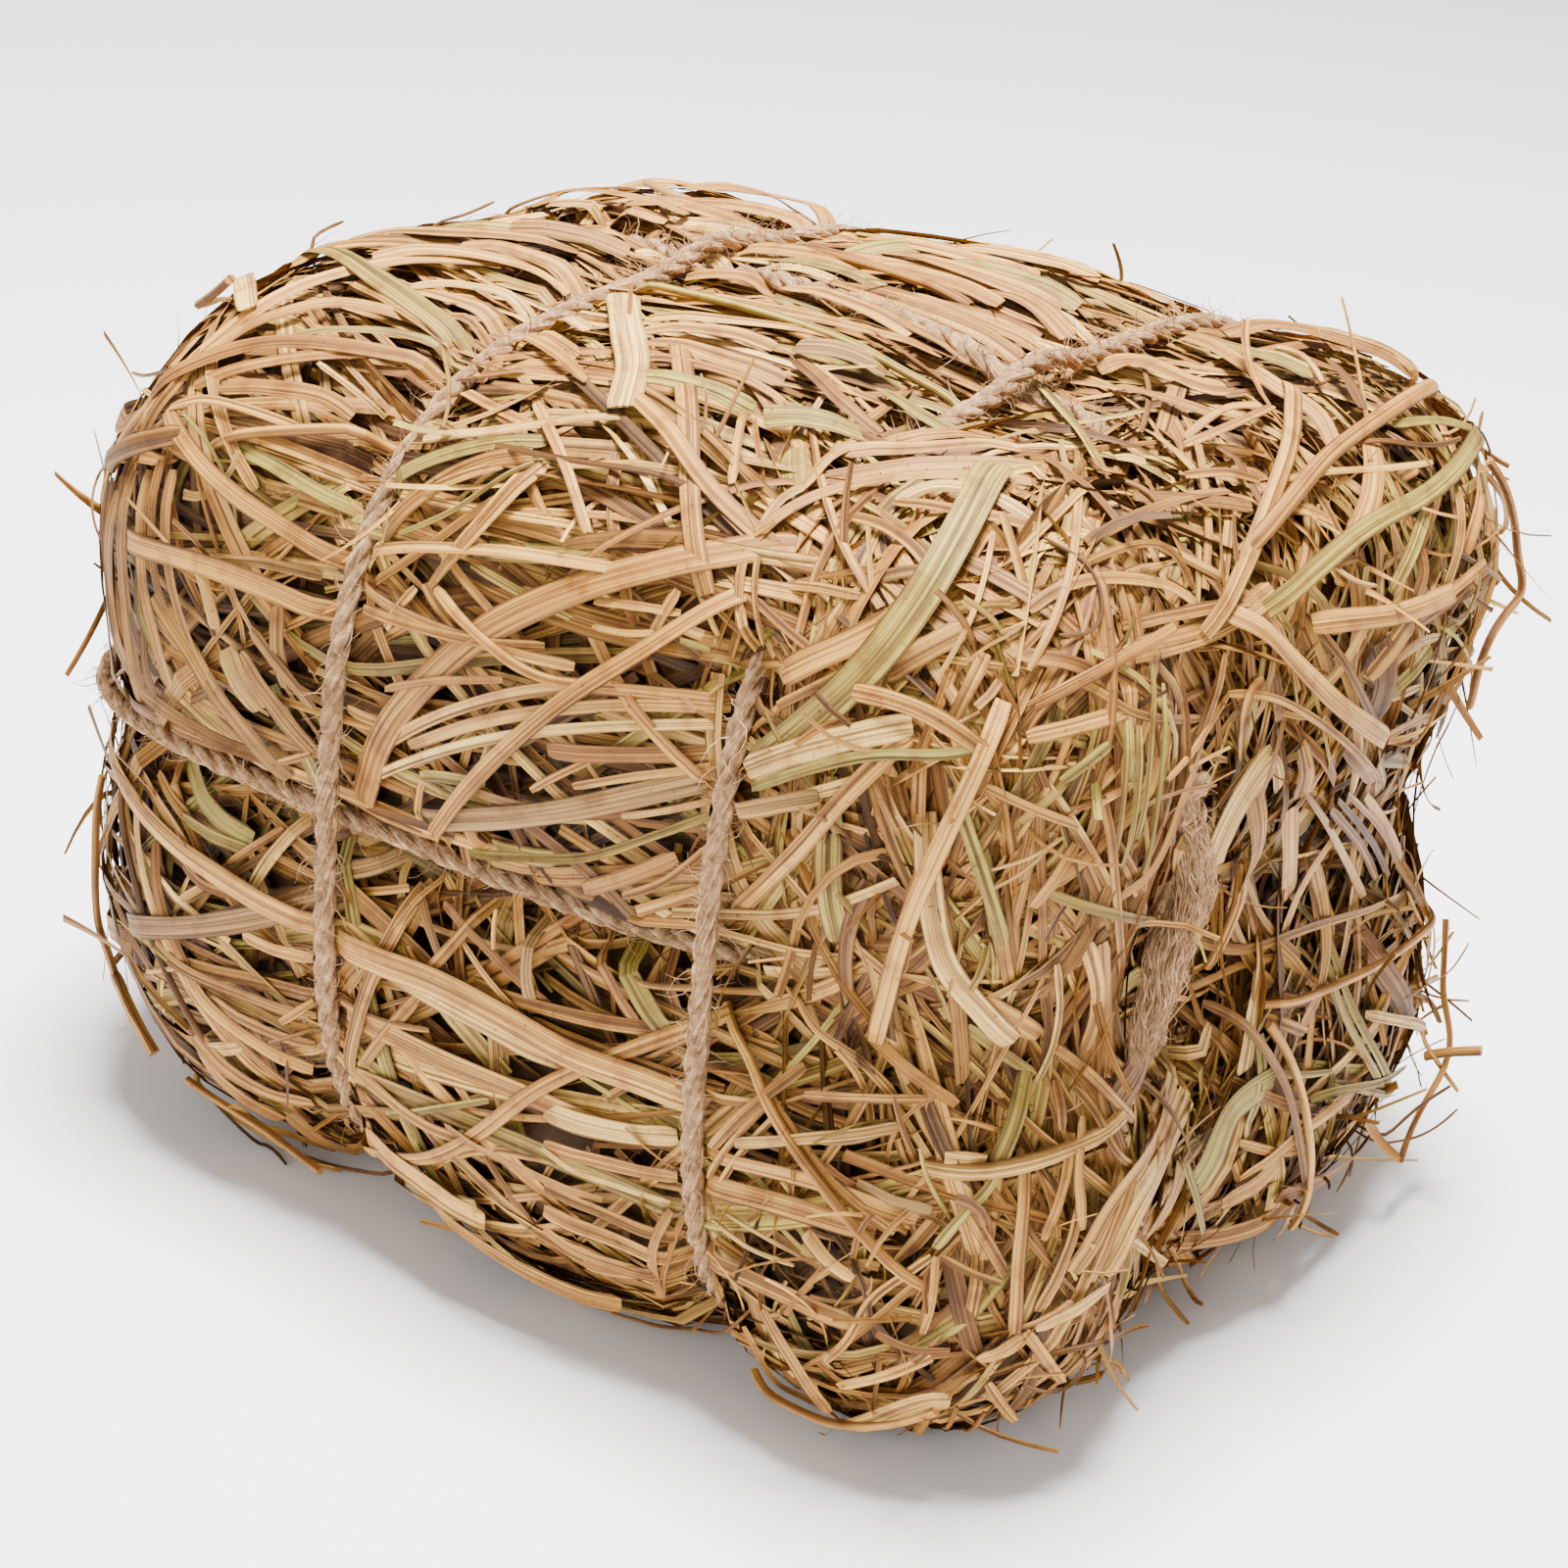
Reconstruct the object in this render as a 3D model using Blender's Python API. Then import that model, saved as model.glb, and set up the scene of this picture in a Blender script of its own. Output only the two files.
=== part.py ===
"""A small rectangular hay bale: packed dried grass, tied four times round with jute twine.

Metres, +Z up. +X runs along the bale towards its loose, cut end, and -Y is its front face.
The two girth twines run round the bale's depth and height. The level twine runs round the front,
the ends and the back. The upright twine runs over the top, down both ends and underneath.
Blades and stems that lie loose on the bale are pieces of their own.
"""

import math

import bpy
import numpy as np
from mathutils import Vector, noise
from mathutils.bvhtree import BVHTree
from mathutils.kdtree import KDTree

# The packed block, before the twines draw it in
BALE_LENGTH = 0.1402
BALE_DEPTH = 0.1086
BALE_HEIGHT = 0.1040
FLATTENED_UNDERSIDE = 0.0045
FLOOR = FLATTENED_UNDERSIDE - BALE_HEIGHT / 2
CORNER_POWER = 4.5
CORNER_POWER_GAIN = 0.9
TOP_LEAN = 0.0156

# Where the twines draw it in, measured from its middle, and by what share
GIRTH_X = (-0.0161, 0.0321)
GIRTH_PULL = (0.035, 0.050)
GIRTH_WIDTH = (0.0132, 0.0090)
GIRTH_CORNER_PULL = 0.055
UPRIGHT_Y = 0.0042
UPRIGHT_SLOPE = -0.236
UPRIGHT_PULL = 0.030
UPRIGHT_PULL_AT_LEFT_END = 0.015
UPRIGHT_PULL_AT_CUT_END = 0.100
KNOT_DRAWS_TWINE = 0.014
LEVEL_Z = 0.0013
LEVEL_PULL = 0.099
LEVEL_PULL_AT_LEFT_END = 0.047
LEVEL_PULL_AT_CUT_END = 0.190
LEVEL_PULL_AT_CUT_CORNER = 0.110
LENGTHWISE_WIDTH = 0.0127

# How far each twine's loop reaches from the middle of the bale
GIRTH_HALF_DEPTH = (0.0527, 0.0533)
GIRTH_TOP = (0.0496, 0.0503)
GIRTH_ROUNDNESS = (3.1, 4.0)
LEVEL_REACH = (0.0667, 0.0560)
LEVEL_HALF_DEPTH = 0.0483
LEVEL_ROUNDNESS_LEFT = 5.0
LEVEL_ROUNDNESS_CUT_END = (2.8, 6.0)
UPRIGHT_REACH = (0.0703, 0.0612)
UPRIGHT_TOP = 0.0505
UPRIGHT_TOP_RISE = 0.05
UPRIGHT_BOTTOM = 0.0408
UPRIGHT_ROUNDNESS = (2.9, 3.5)
DIP_UNDER_GIRTH = 0.0018
RISE_OVER_UPRIGHT = 0.0020
CROSSING_WIDTH = 0.0065

# Twine, and the groove it presses into the grass
TWINE_RADIUS = 0.0015
TWINE_SIDES = 6
TWINE_STEP = 0.0020
TWINE_LONGEST_STEP = 0.0105
TWINE_TOLERANCE = 0.00016
TWINE_OFF_GROUND = 0.0007
GROOVE_DEPTH = 0.0030
GROOVE_SPREAD = 0.90
GROOVE_CLEARANCE = 0.0004

# The knot and the frayed tail, on the cut end
KNOT_AT = Vector((0.0660, -0.0255, 0.0225))
KNOT_SIZE = Vector((0.0017, 0.0022, 0.0027))
TAIL_ROUTE = (
    Vector((0.0670, -0.0240, 0.0178)),
    Vector((0.0672, -0.0234, 0.0126)),
    Vector((0.0670, -0.0260, 0.0077)),
    Vector((0.0668, -0.0266, 0.0034)),
    Vector((0.0666, -0.0280, 0.0004)),
)
TAIL_HALF_WIDTHS = (0.0012, 0.0024, 0.0027, 0.0025, 0.0021)

# The grain of the packed grass
RIDGE_HEIGHT = 0.0012
GRAIN_ALONG = 26.0
GRAIN_ACROSS = 240.0

# Faces along each side of the block
COLUMNS = 18

# Loose blades and stems
BLADE_THICKNESS = 0.0006
BLADE_STEP = 0.0062
BLADE_CLEARANCE = 0.0006
STEM_SIDES = 6
SNAP = 0.0030
HIGHEST_LIFT = 0.008

# Routes of the loose pieces in millimetres from the bale's middle, after each one's width.
# Those of the first group are flat blades, and those of the second are round stems.
BLADES = {
    "blade_green_shoulder": (2.6, (-45, -22, 48), (-32, -28, 50), (-23, -30, 49), (-19, -31, 49)),
    "blade_arched_shoulder": (1.6, (-44, -43, 41), (-37, -41, 45), (-29, -39, 47), (-20, -37, 48)),
    "blade_left_wrap": (1.7, (-39, -48, 36), (-34, -50, 34), (-28, -51, 33), (-20, -51, 31)),
    "blade_left_front": (2.0, (-41, -51, 25), (-30, -52, 26), (-19, -52, 25)),
    "blade_pale_folded": (2.9, (-11, -14, 50), (-1, -26, 51), (8, -36, 51), (9, -39, 49)),
    "blade_front_upright": (1.8, (7, -28, 52), (16, -38, 50), (20, -43, 47), (24, -47, 43)),
    "blade_front_slant": (1.5, (10, -38, 50), (18, -41, 48), (23, -44, 46), (28, -44, 44)),
    "blade_green_fold": (2.9, (47, -36, 49), (49, -44, 45), (48, -48, 41), (46, -51, 36), (40, -51, 29)),
    "blade_front_wide": (2.6, (-12, -50, 8), (-9, -51, 15), (-2, -53, 23), (6, -53, 31), (20, -50, 39), (28, -46, 42)),
    "blade_front_diagonal": (1.5, (-2, -49, 6), (4, -52, 14), (13, -54, 24), (21, -52, 31), (28, -49, 37)),
    "blade_grey_left": (2.2, (-42, -51, -19), (-30, -52, -14), (-20, -50, -9)),
    "blade_grey_right": (2.0, (0, -50, 8), (12, -52, 13), (22, -52, 18), (28, -51, 21)),
    "blade_low_diagonal": (1.5, (-12, -52, -22), (-10, -51, -14), (-7, -49, -7)),
    "blade_low_arc": (1.4, (-12, -50, -36), (-1, -53, -31), (9, -54, -22), (14, -53, -16), (22, -50, -10), (28, -48, -6)),
    "blade_left_hug": (2.3, (-51, -44, -4), (-43, -48, -7), (-32, -51, -9), (-21, -50, -10)),
    "blade_low_broad": (2.8, (-12, -51, -11), (-4, -51, -10), (5, -52, -10), (16, -52, -11), (27, -51, -12)),
    "blade_beside_twine": (1.5, (36, -49, 12), (41, -51, 18), (46, -52, 26), (49, -51, 30)),
    "blade_corner_long": (1.5, (49, -46, 6), (52, -50, 15), (55, -50, 25), (57, -49, 32)),
    "blade_corner_pale": (2.0, (54, -50, 21), (54, -47, 12), (55, -42, 6)),
    "blade_split_pale": (1.8, (37, -51, 22), (44, -52, 26)),
    "blade_end_upright": (1.7, (54, 9, 49), (57, 2, 47), (60, -8, 44), (64, -18, 41)),
    "blade_end_green": (1.8, (64, 33, 43), (66, 21, 42), (66, 15, 41), (65, 3, 41), (65, -9, 39)),
    "blade_end_level": (1.9, (67, -3, 34), (69, 5, 33), (69, 16, 32)),
    "blade_end_top": (1.8, (64, -44, 40), (65, -36, 41)),
    "blade_end_slant": (1.9, (66, -16, 36), (67, -11, 31), (68, -4, 26), (69, 5, 21)),
    "blade_hanging_right": (1.7, (66, 5, -33), (65, 8, -40)),
    "blade_pale_curl": (2.1, (-55, -24, 45), (-46, -32, 46), (-41, -37, 46)),
    "strand_right_loop": (1.2, (66, 32, 41), (69, 36, 33), (71, 40, 26), (71, 32, 25), (70, 27, 23), (69, 32, 15)),
    "strand_left_long": (1.2, (-53, -44, -7), (-54, -46, -14), (-53, -47, -22), (-55, -44, -33)),
    "strand_left_low": (1.2, (-41, -48, -40), (-33, -47, -43), (-22, -46, -44)),
    "strand_front_low": (1.2, (37, -46, -43), (47, -48, -42), (59, -48, -36)),
    "blade_back_upper": (2.4, (-55, 44, 15), (-40, 52, 22), (-21, 52, 34)),
    "blade_back_middle": (2.6, (-11, 53, 30), (8, 54, 20), (27, 52, 9)),
    "blade_back_crossing": (1.8, (-8, 53, 9), (6, 54, 24), (18, 53, 38)),
    "blade_back_low": (2.2, (-52, 47, -30), (-36, 52, -20), (-21, 51, -8)),
    "blade_back_right": (2.0, (38, 51, 34), (50, 52, 20), (60, 48, 9)),
    "blade_left_end": (2.4, (-66, -34, 30), (-69, -12, 22), (-69, 10, 10)),
    "blade_left_end_low": (2.0, (-67, -30, -8), (-69, -8, -20), (-67, 12, -32)),
}
STEMS = {
    "stem_top_green": (1.2, (-11, -9, 51), (-3, -10, 51), (6, -11, 51), (18, -13, 51), (27, -14, 49)),
    "stem_top_long": (1.2, (-31, -48, 39), (-26, -47, 41), (-20, -46, 42)),
    "stem_front_low": (1.2, (36, -48, -6), (40, -50, -9), (44, -50, -12), (54, -50, -20)),
    "stem_pale_short": (1.8, (59, -44, -10), (63, -36, -9)),
    "stem_end_long": (1.8, (59, 29, 47), (60, 14, 47), (60, 4, 46), (61, -9, 43)),
    "stem_end_thin": (1.1, (62, 3, -9), (64, 10, -10), (65, 20, -11), (64, 32, -12)),
    "stem_end_hanging": (1.1, (63, -3, -10), (66, 1, -16), (67, 4, -24), (67, 9, -35), (66, 11, -40)),
    "stem_out_right": (1.3, (67, 37, -30), (71, 38, -29), (75, 39, -28)),
    "stem_left_low": (1.8, (-50, -49, -33), (-45, -50, -38)),
    "stem_left_top": (1.3, (-57, -29, 43), (-48, -32, 46)),
    "strand_right_low": (1.0, (66, 43, -16), (68, 41, -22), (70, 37, -32), (71, 30, -40)),
    "stem_back_low": (1.4, (-10, 52, -8), (10, 53, -22), (27, 52, -34)),
    "stem_left_end": (1.4, (-64, 44, 30), (-67, 36, 18), (-67, 31, 8)),
}


def clear_scene():
    for old in list(bpy.data.objects):
        bpy.data.objects.remove(old, do_unlink=True)


def material(name, colour, roughness):
    made = bpy.data.materials.new(name)
    made.use_nodes = True
    shader = made.node_tree.nodes["Principled BSDF"]
    shader.inputs["Base Color"].default_value = (*colour, 1.0)
    shader.inputs["Roughness"].default_value = roughness
    shader.inputs["Metallic"].default_value = 0.0
    return made


def add_object(name, verts, faces, finish):
    mesh = bpy.data.meshes.new(name)
    mesh.from_pydata([tuple(v) for v in verts], [], faces)
    mesh.update()
    made = bpy.data.objects.new(name, mesh)
    made.data.materials.append(finish)
    bpy.context.scene.collection.objects.link(made)
    return made


def bump(distance, width):
    return math.exp(-((distance / width) ** 2))


def ramp(value, start, end):
    """Rises evenly from 0 at start to 1 at end."""
    return min(1.0, max(0.0, (value - start) / (end - start)))


def upright_y(x, z):
    """Where the upright twine lies: slanting along the bale, and drawn forwards by the knot."""
    drawn = ramp(x, 0.042, 0.064) * ramp(z, -0.040, 0.040)
    return UPRIGHT_Y + UPRIGHT_SLOPE * x - KNOT_DRAWS_TWINE * drawn


# The packed block of grass


def grain(point, across_end):
    """The ridges that bundles of grass leave: long on the sides, short and upright on the ends."""
    along, across = GRAIN_ALONG, GRAIN_ACROSS
    lengthwise = noise.noise(Vector((point.x * along, point.y * across, point.z * across)))
    upright = noise.noise(Vector((point.x * across, point.y * across, point.z * along * 2)))
    return RIDGE_HEIGHT * (lengthwise * (1 - across_end) + upright * across_end)


def block_point(q):
    """The block's surface for a point q of the cube from -1 to 1, before the grooves."""
    power = CORNER_POWER + CORNER_POWER_GAIN * q.x
    reach = sum(abs(v) ** power for v in q) ** (1 / power)
    x = q.x / reach * BALE_LENGTH / 2
    y = q.y / reach * BALE_DEPTH / 2
    z = q.z / reach * BALE_HEIGHT / 2

    long_edge = (q.y * q.z) ** 2
    girth = sum(
        (pull + GIRTH_CORNER_PULL * long_edge) * bump(x - at, width)
        for at, pull, width in zip(GIRTH_X, GIRTH_PULL, GIRTH_WIDTH)
    )
    off_upright = y - upright_y(x, z)
    upright = bump(off_upright, LENGTHWISE_WIDTH)
    level = bump(z - LEVEL_Z, LENGTHWISE_WIDTH)
    on_end = abs(q.x) ** 4
    upright_in = on_end * (UPRIGHT_PULL_AT_CUT_END if x > 0 else UPRIGHT_PULL_AT_LEFT_END)
    level_in = on_end * (LEVEL_PULL_AT_CUT_END if x > 0 else LEVEL_PULL_AT_LEFT_END)
    corner = level * LEVEL_PULL_AT_CUT_CORNER * ramp(q.x, 0.3, 1) * ramp(-q.y, 0.1, 1)
    drawn = Vector(
        (
            x * (1 - upright * upright_in) * (1 - level * level_in) * (1 - corner) + TOP_LEAN * z,
            y * (1 - girth) * (1 - level * LEVEL_PULL) * (1 - corner),
            z * (1 - girth) * (1 - upright * UPRIGHT_PULL),
        )
    )

    near_twine = max(girth / GIRTH_PULL[0], upright, level)
    relief = grain(drawn, abs(q.x) ** 6) * (1 - min(1.0, near_twine))
    drawn += drawn.normalized() * relief
    drawn.z = max(drawn.z, FLOOR)
    return drawn


def beside_twine(point, points, tree):
    """How far a point lies from a twine's line: outwards, and to the side."""
    _, nearest, _ = tree.find(point)
    here = points[nearest]
    along = (points[(nearest + 1) % len(points)] - points[nearest - 1]).normalized()
    out = outward(here)
    out = (out - out.dot(along) * along).normalized()
    offset = point - here
    offset -= offset.dot(along) * along
    height = offset.dot(out)
    return height, (offset - height * out).length, out


def grooved(point, twine_lines):
    """Presses a point of the block in, where it lies under a twine."""
    for points, tree in twine_lines:
        height, aside, out = beside_twine(point, points, tree)
        highest = aside * GROOVE_SPREAD - GROOVE_DEPTH
        if aside < 0.008 and height > highest:
            point = point - out * (height - highest)
    return point


def cleared(verts, faces, twine_lines):
    """Presses in the corners of each face that would still touch a twine between them."""
    clear = TWINE_RADIUS + GROOVE_CLEARANCE
    shares = [(a / 5, b / 5, (5 - a - b) / 5) for a in range(6) for b in range(6 - a)]
    for points, tree in twine_lines:
        near = [f for f in faces if min(tree.find(verts[i])[2] for i in f) < 0.009]
        for _ in range(8):
            press = {}
            for face in near:
                corners = [verts[i] for i in face]
                for share in shares:
                    point = sum((c * s for c, s in zip(corners, share)), Vector())
                    height, aside, out = beside_twine(point, points, tree)
                    if aside >= clear:
                        continue
                    excess = height + math.sqrt(clear**2 - aside**2)
                    if excess <= 0 or height > 0.02:
                        continue
                    for i, s in zip(face, share):
                        if s > 0.3 and excess > press.get(i, (0, None))[0]:
                            press[i] = (excess, out)
            for i, (excess, out) in press.items():
                verts[i] = verts[i] - out * excess
            if not press:
                break


def stations(twines_at, half_size):
    """Grid lines from -1 to 1, with one on each twine and one close on either side of it."""
    lines = [2 * i / COLUMNS - 1 for i in range(COLUMNS + 1)]
    beside = 0.0045 / half_size
    for at in twines_at:
        middle = min(range(2, COLUMNS - 1), key=lambda i: abs(lines[i] - at / half_size))
        for step in (-1, 0, 1):
            lines[middle + step] = at / half_size + step * beside
    return sorted(lines)


def slanted(q):
    """Turns the lines that follow the upright twine to its slant, with the block's edges kept."""
    half_depth = BALE_DEPTH / 2
    line = upright_y(q.x * BALE_LENGTH / 2, q.z * BALE_HEIGHT / 2) - UPRIGHT_Y
    share = (1 - abs(q.y)) / (1 - UPRIGHT_Y / half_depth)
    return Vector((q.x, q.y + share * line / half_depth, q.z))


def make_block(twine_points, finish):
    twine_lines = []
    for points in twine_points:
        tree = KDTree(len(points))
        for i, point in enumerate(points):
            tree.insert(point, i)
        tree.balance()
        twine_lines.append((points, tree))
    xs = stations(GIRTH_X, BALE_LENGTH / 2)
    ys = stations((UPRIGHT_Y,), BALE_DEPTH / 2)
    zs = stations((LEVEL_Z,), BALE_HEIGHT / 2)
    index, verts, faces = {}, [], []

    def vertex(i, j, k):
        if (i, j, k) not in index:
            index[i, j, k] = len(verts)
            point = block_point(slanted(Vector((xs[i], ys[j], zs[k]))))
            verts.append(grooved(point, twine_lines))
        return index[i, j, k]

    last = COLUMNS
    for a in range(last):
        for b in range(last):
            corners = ((a, b), (a + 1, b), (a + 1, b + 1), (a, b + 1))
            faces.append([vertex(last, j, k) for j, k in corners])
            faces.append([vertex(0, j, k) for j, k in reversed(corners)])
            faces.append([vertex(i, 0, k) for i, k in corners])
            faces.append([vertex(i, last, k) for i, k in reversed(corners)])
            faces.append([vertex(i, j, last) for i, j in corners])
            faces.append([vertex(i, j, 0) for i, j in reversed(corners)])
    faces = [half for a, b, c, d in faces for half in ((a, b, c), (a, c, d))]
    cleared(verts, faces, twine_lines)
    return add_object("straw_block", verts, faces, finish)


# What lies on what


def surface_of(objects):
    """One search tree over the faces of several objects."""
    verts, faces = [], []
    for obj in objects:
        first = len(verts)
        obj.data.calc_loop_triangles()
        verts += [v.co for v in obj.data.vertices]
        faces += [[first + i for i in t.vertices] for t in obj.data.loop_triangles]
    return BVHTree.FromPolygons(verts, faces)


def outward(point):
    """The way out of the bale at a point: away from a smaller block inside it."""
    core = Vector((BALE_LENGTH / 2 - 0.03, BALE_DEPTH / 2 - 0.03, BALE_HEIGHT / 2 - 0.03))
    nearest = Vector([max(-c, min(c, v)) for v, c in zip(point, core)])
    return (point - nearest).normalized()


def ring_tube(name, points, sides_of, closed, finish):
    """Joins rings of corners, one at each point, into a tube with flat caps or into a closed loop."""
    count = len(points)
    verts = [corner for i in range(count) for corner in sides_of(i)]
    sides = len(verts) // count
    faces = []
    for i in range(count if closed else count - 1):
        here, there = i * sides, (i + 1) % count * sides
        for s in range(sides):
            t = (s + 1) % sides
            faces.append([here + s, here + t, there + t, there + s])
    if not closed:
        faces.append(list(range(sides))[::-1])
        faces.append([(count - 1) * sides + s for s in range(sides)])
    return add_object(name, verts, faces, finish)


def direction_at(points, i, closed):
    count = len(points)
    before = points[(i - 1) % count] if closed else points[max(i - 1, 0)]
    after = points[(i + 1) % count] if closed else points[min(i + 1, count - 1)]
    return (after - before).normalized()


def round_ring(points, i, closed, radius, sides, up):
    along = direction_at(points, i, closed)
    across = up.cross(along).normalized()
    rise = along.cross(across)
    turns = [2 * math.pi * s / sides for s in range(sides)]
    return [points[i] + radius * (math.cos(t) * across + math.sin(t) * rise) for t in turns]


# Twine


def evenly_spaced(points, step):
    """The same closed loop with points a given step apart."""
    ring = points + points[:1]
    lengths = [(b - a).length for a, b in zip(ring, ring[1:])]
    count = max(8, round(sum(lengths) / step))
    made, leg, done = [], 0, 0.0
    for n in range(count):
        target = sum(lengths) * n / count
        while done + lengths[leg] < target:
            done += lengths[leg]
            leg += 1
        made.append(ring[leg].lerp(ring[leg + 1], (target - done) / lengths[leg]))
    return made


def thinned(points):
    """Leaves out points that the loop's shape doesn't need, so that its straight runs have few."""
    kept = [0]
    for i in range(1, len(points) + 1):
        start, end = points[kept[-1]], points[(i + 1) % len(points)]
        chord = (end - start).normalized()
        between = [points[n % len(points)] - start for n in range(kept[-1] + 1, i + 1)]
        bow = max((v - v.dot(chord) * chord).length for v in between)
        if bow > TWINE_TOLERANCE or (end - start).length > TWINE_LONGEST_STEP:
            kept.append(i)
    return [points[i] for i in kept if i < len(points)]


def loop_reach(angle, right, left, top, bottom, roundness):
    """A point of a rounded loop. roundness holds one power for each quarter, from top right."""
    u, v = math.cos(angle), math.sin(angle)
    power = roundness[(0 if u > 0 else 1) if v > 0 else (3 if u > 0 else 2)]
    across = abs(u) / (right if u > 0 else left)
    up = abs(v) / (top if v > 0 else bottom)
    reach = (across**power + up**power) ** (-1 / power)
    return reach * u, reach * v


def girth_path(index):
    """A loop round the bale's depth and height that rises where it goes over the upright twine."""
    at, half_depth, top = GIRTH_X[index], GIRTH_HALF_DEPTH[index], GIRTH_TOP[index]
    front, back = GIRTH_ROUNDNESS
    crossing = upright_y(at, top)
    ground = FLOOR + TWINE_RADIUS + TWINE_OFF_GROUND
    points = []
    for n in range(180):
        angle = 2 * math.pi * n / 180
        y, z = loop_reach(angle, half_depth, half_depth, top, top, (back, front, front, back))
        if z > 0:
            z += RISE_OVER_UPRIGHT * bump(y - crossing, CROSSING_WIDTH)
        z = max(z, ground)
        points.append(Vector((at + TOP_LEAN * z, y, z)))
    return evenly_spaced(points, TWINE_STEP)


def level_path():
    left, right = LEVEL_REACH
    front, back = LEVEL_ROUNDNESS_CUT_END
    roundness = (back, LEVEL_ROUNDNESS_LEFT, LEVEL_ROUNDNESS_LEFT, front)
    points = []
    for n in range(180):
        angle = 2 * math.pi * n / 180
        x, y = loop_reach(angle, right, left, LEVEL_HALF_DEPTH, LEVEL_HALF_DEPTH, roundness)
        points.append(Vector((x, y, LEVEL_Z)))
    return evenly_spaced(points, TWINE_STEP)


def upright_path():
    """A loop over the top and under the bale that dips where the girth twines cross it."""
    left, right = UPRIGHT_REACH
    at_left, at_right = UPRIGHT_ROUNDNESS
    points = []
    for n in range(180):
        angle = 2 * math.pi * n / 180
        roundness = (at_right, at_left, 4.0, 4.0)
        x, z = loop_reach(angle, right, left, UPRIGHT_TOP, UPRIGHT_BOTTOM, roundness)
        if z > 0:
            z += UPRIGHT_TOP_RISE * x * ramp(z, 0.02, 0.045)
            z -= DIP_UNDER_GIRTH * sum(bump(x - at, CROSSING_WIDTH) for at in GIRTH_X)
        points.append(Vector((x, upright_y(x, z), z)))
    return evenly_spaced(points, TWINE_STEP)


def make_twine(name, path, plane_normal, finish):
    points = thinned(path)

    def ring(i):
        return round_ring(points, i, True, TWINE_RADIUS, TWINE_SIDES, plane_normal)

    return ring_tube(name, points, ring, True, finish)


def make_knot(finish):
    """A lump of two turns of twine, on the upright twine."""
    around, rows = 12, 7
    verts, faces = [KNOT_AT + Vector((0, 0, KNOT_SIZE.z))], []
    for r in range(1, rows):
        tilt = math.pi * r / rows
        for a in range(around):
            turn = 2 * math.pi * a / around
            swell = 1 + 0.10 * math.cos(2 * turn + 3 * tilt)
            away = Vector((math.cos(turn) * math.sin(tilt), math.sin(turn) * math.sin(tilt), math.cos(tilt)))
            verts.append(KNOT_AT + Vector([v * s * swell for v, s in zip(away, KNOT_SIZE)]))
    verts.append(KNOT_AT - Vector((0, 0, KNOT_SIZE.z)))
    last = len(verts) - 1
    for a in range(around):
        b = (a + 1) % around
        faces.append([0, 1 + a, 1 + b])
        for r in range(rows - 2):
            here, below = 1 + r * around, 1 + (r + 1) * around
            faces.append([here + a, below + a, below + b, here + b])
        faces.append([last, last - around + b, last - around + a])
    return add_object("twine_knot", verts, faces, finish)


def make_tail(finish):
    """The frayed brush of twine ends that hangs from the knot."""
    points = list(TAIL_ROUTE)

    def ring(i):
        along = direction_at(points, i, False)
        across = Vector((1, 0, 0)).cross(along).normalized()
        rise = along.cross(across)
        half = TAIL_HALF_WIDTHS[i]
        turns = [2 * math.pi * s / 8 for s in range(8)]
        return [points[i] + half * (math.cos(t) * across + 0.6 * math.sin(t) * rise) for t in turns]

    return ring_tube("twine_tail", points, ring, False, finish)


# Loose blades and stems


def smooth_route(corners, step):
    """A curve through the given points (Catmull-Rom), in about equal steps."""
    ends = [2 * corners[0] - corners[1], *corners, 2 * corners[-1] - corners[-2]]
    fine = []
    for a, b, c, d in zip(ends, ends[1:], ends[2:], ends[3:]):
        for n in range(12):
            t = n / 12
            fine.append(
                0.5
                * (
                    2 * b
                    + (c - a) * t
                    + (2 * a - 5 * b + 4 * c - d) * t**2
                    + (3 * b - a - 3 * c + d) * t**3
                )
            )
    fine.append(corners[-1])
    lengths = [(b - a).length for a, b in zip(fine, fine[1:])]
    count = max(2, round(sum(lengths) / step))
    made, leg, done = [fine[0]], 0, 0.0
    for n in range(1, count):
        target = sum(lengths) * n / count
        while done + lengths[leg] < target:
            done += lengths[leg]
            leg += 1
        made.append(fine[leg].lerp(fine[leg + 1], (target - done) / lengths[leg]))
    return [*made, fine[-1]]


def settled(points, half_width, half_height, tree):
    """Lays a piece on what is under it: as near as it goes, with no part of it inside."""
    outs = [outward(p) for p in points]
    outside = 0.03
    heights = []
    for i, (point, out) in enumerate(zip(points, outs)):
        across = direction_at(points, i, False).cross(out).normalized()
        highest = -outside
        for lane in (-1.15, -0.6, 0, 0.6, 1.15):
            start = point + across * half_width * lane + out * outside
            hit = tree.ray_cast(start, -out, 2 * outside)[0]
            if hit:
                highest = max(highest, (hit - point).dot(out))
        needed = highest + BLADE_CLEARANCE + half_height
        heights.append(needed if needed > -SNAP else 0.0)
    return [p + out * h for p, out, h in zip(points, outs, heights)]


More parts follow.
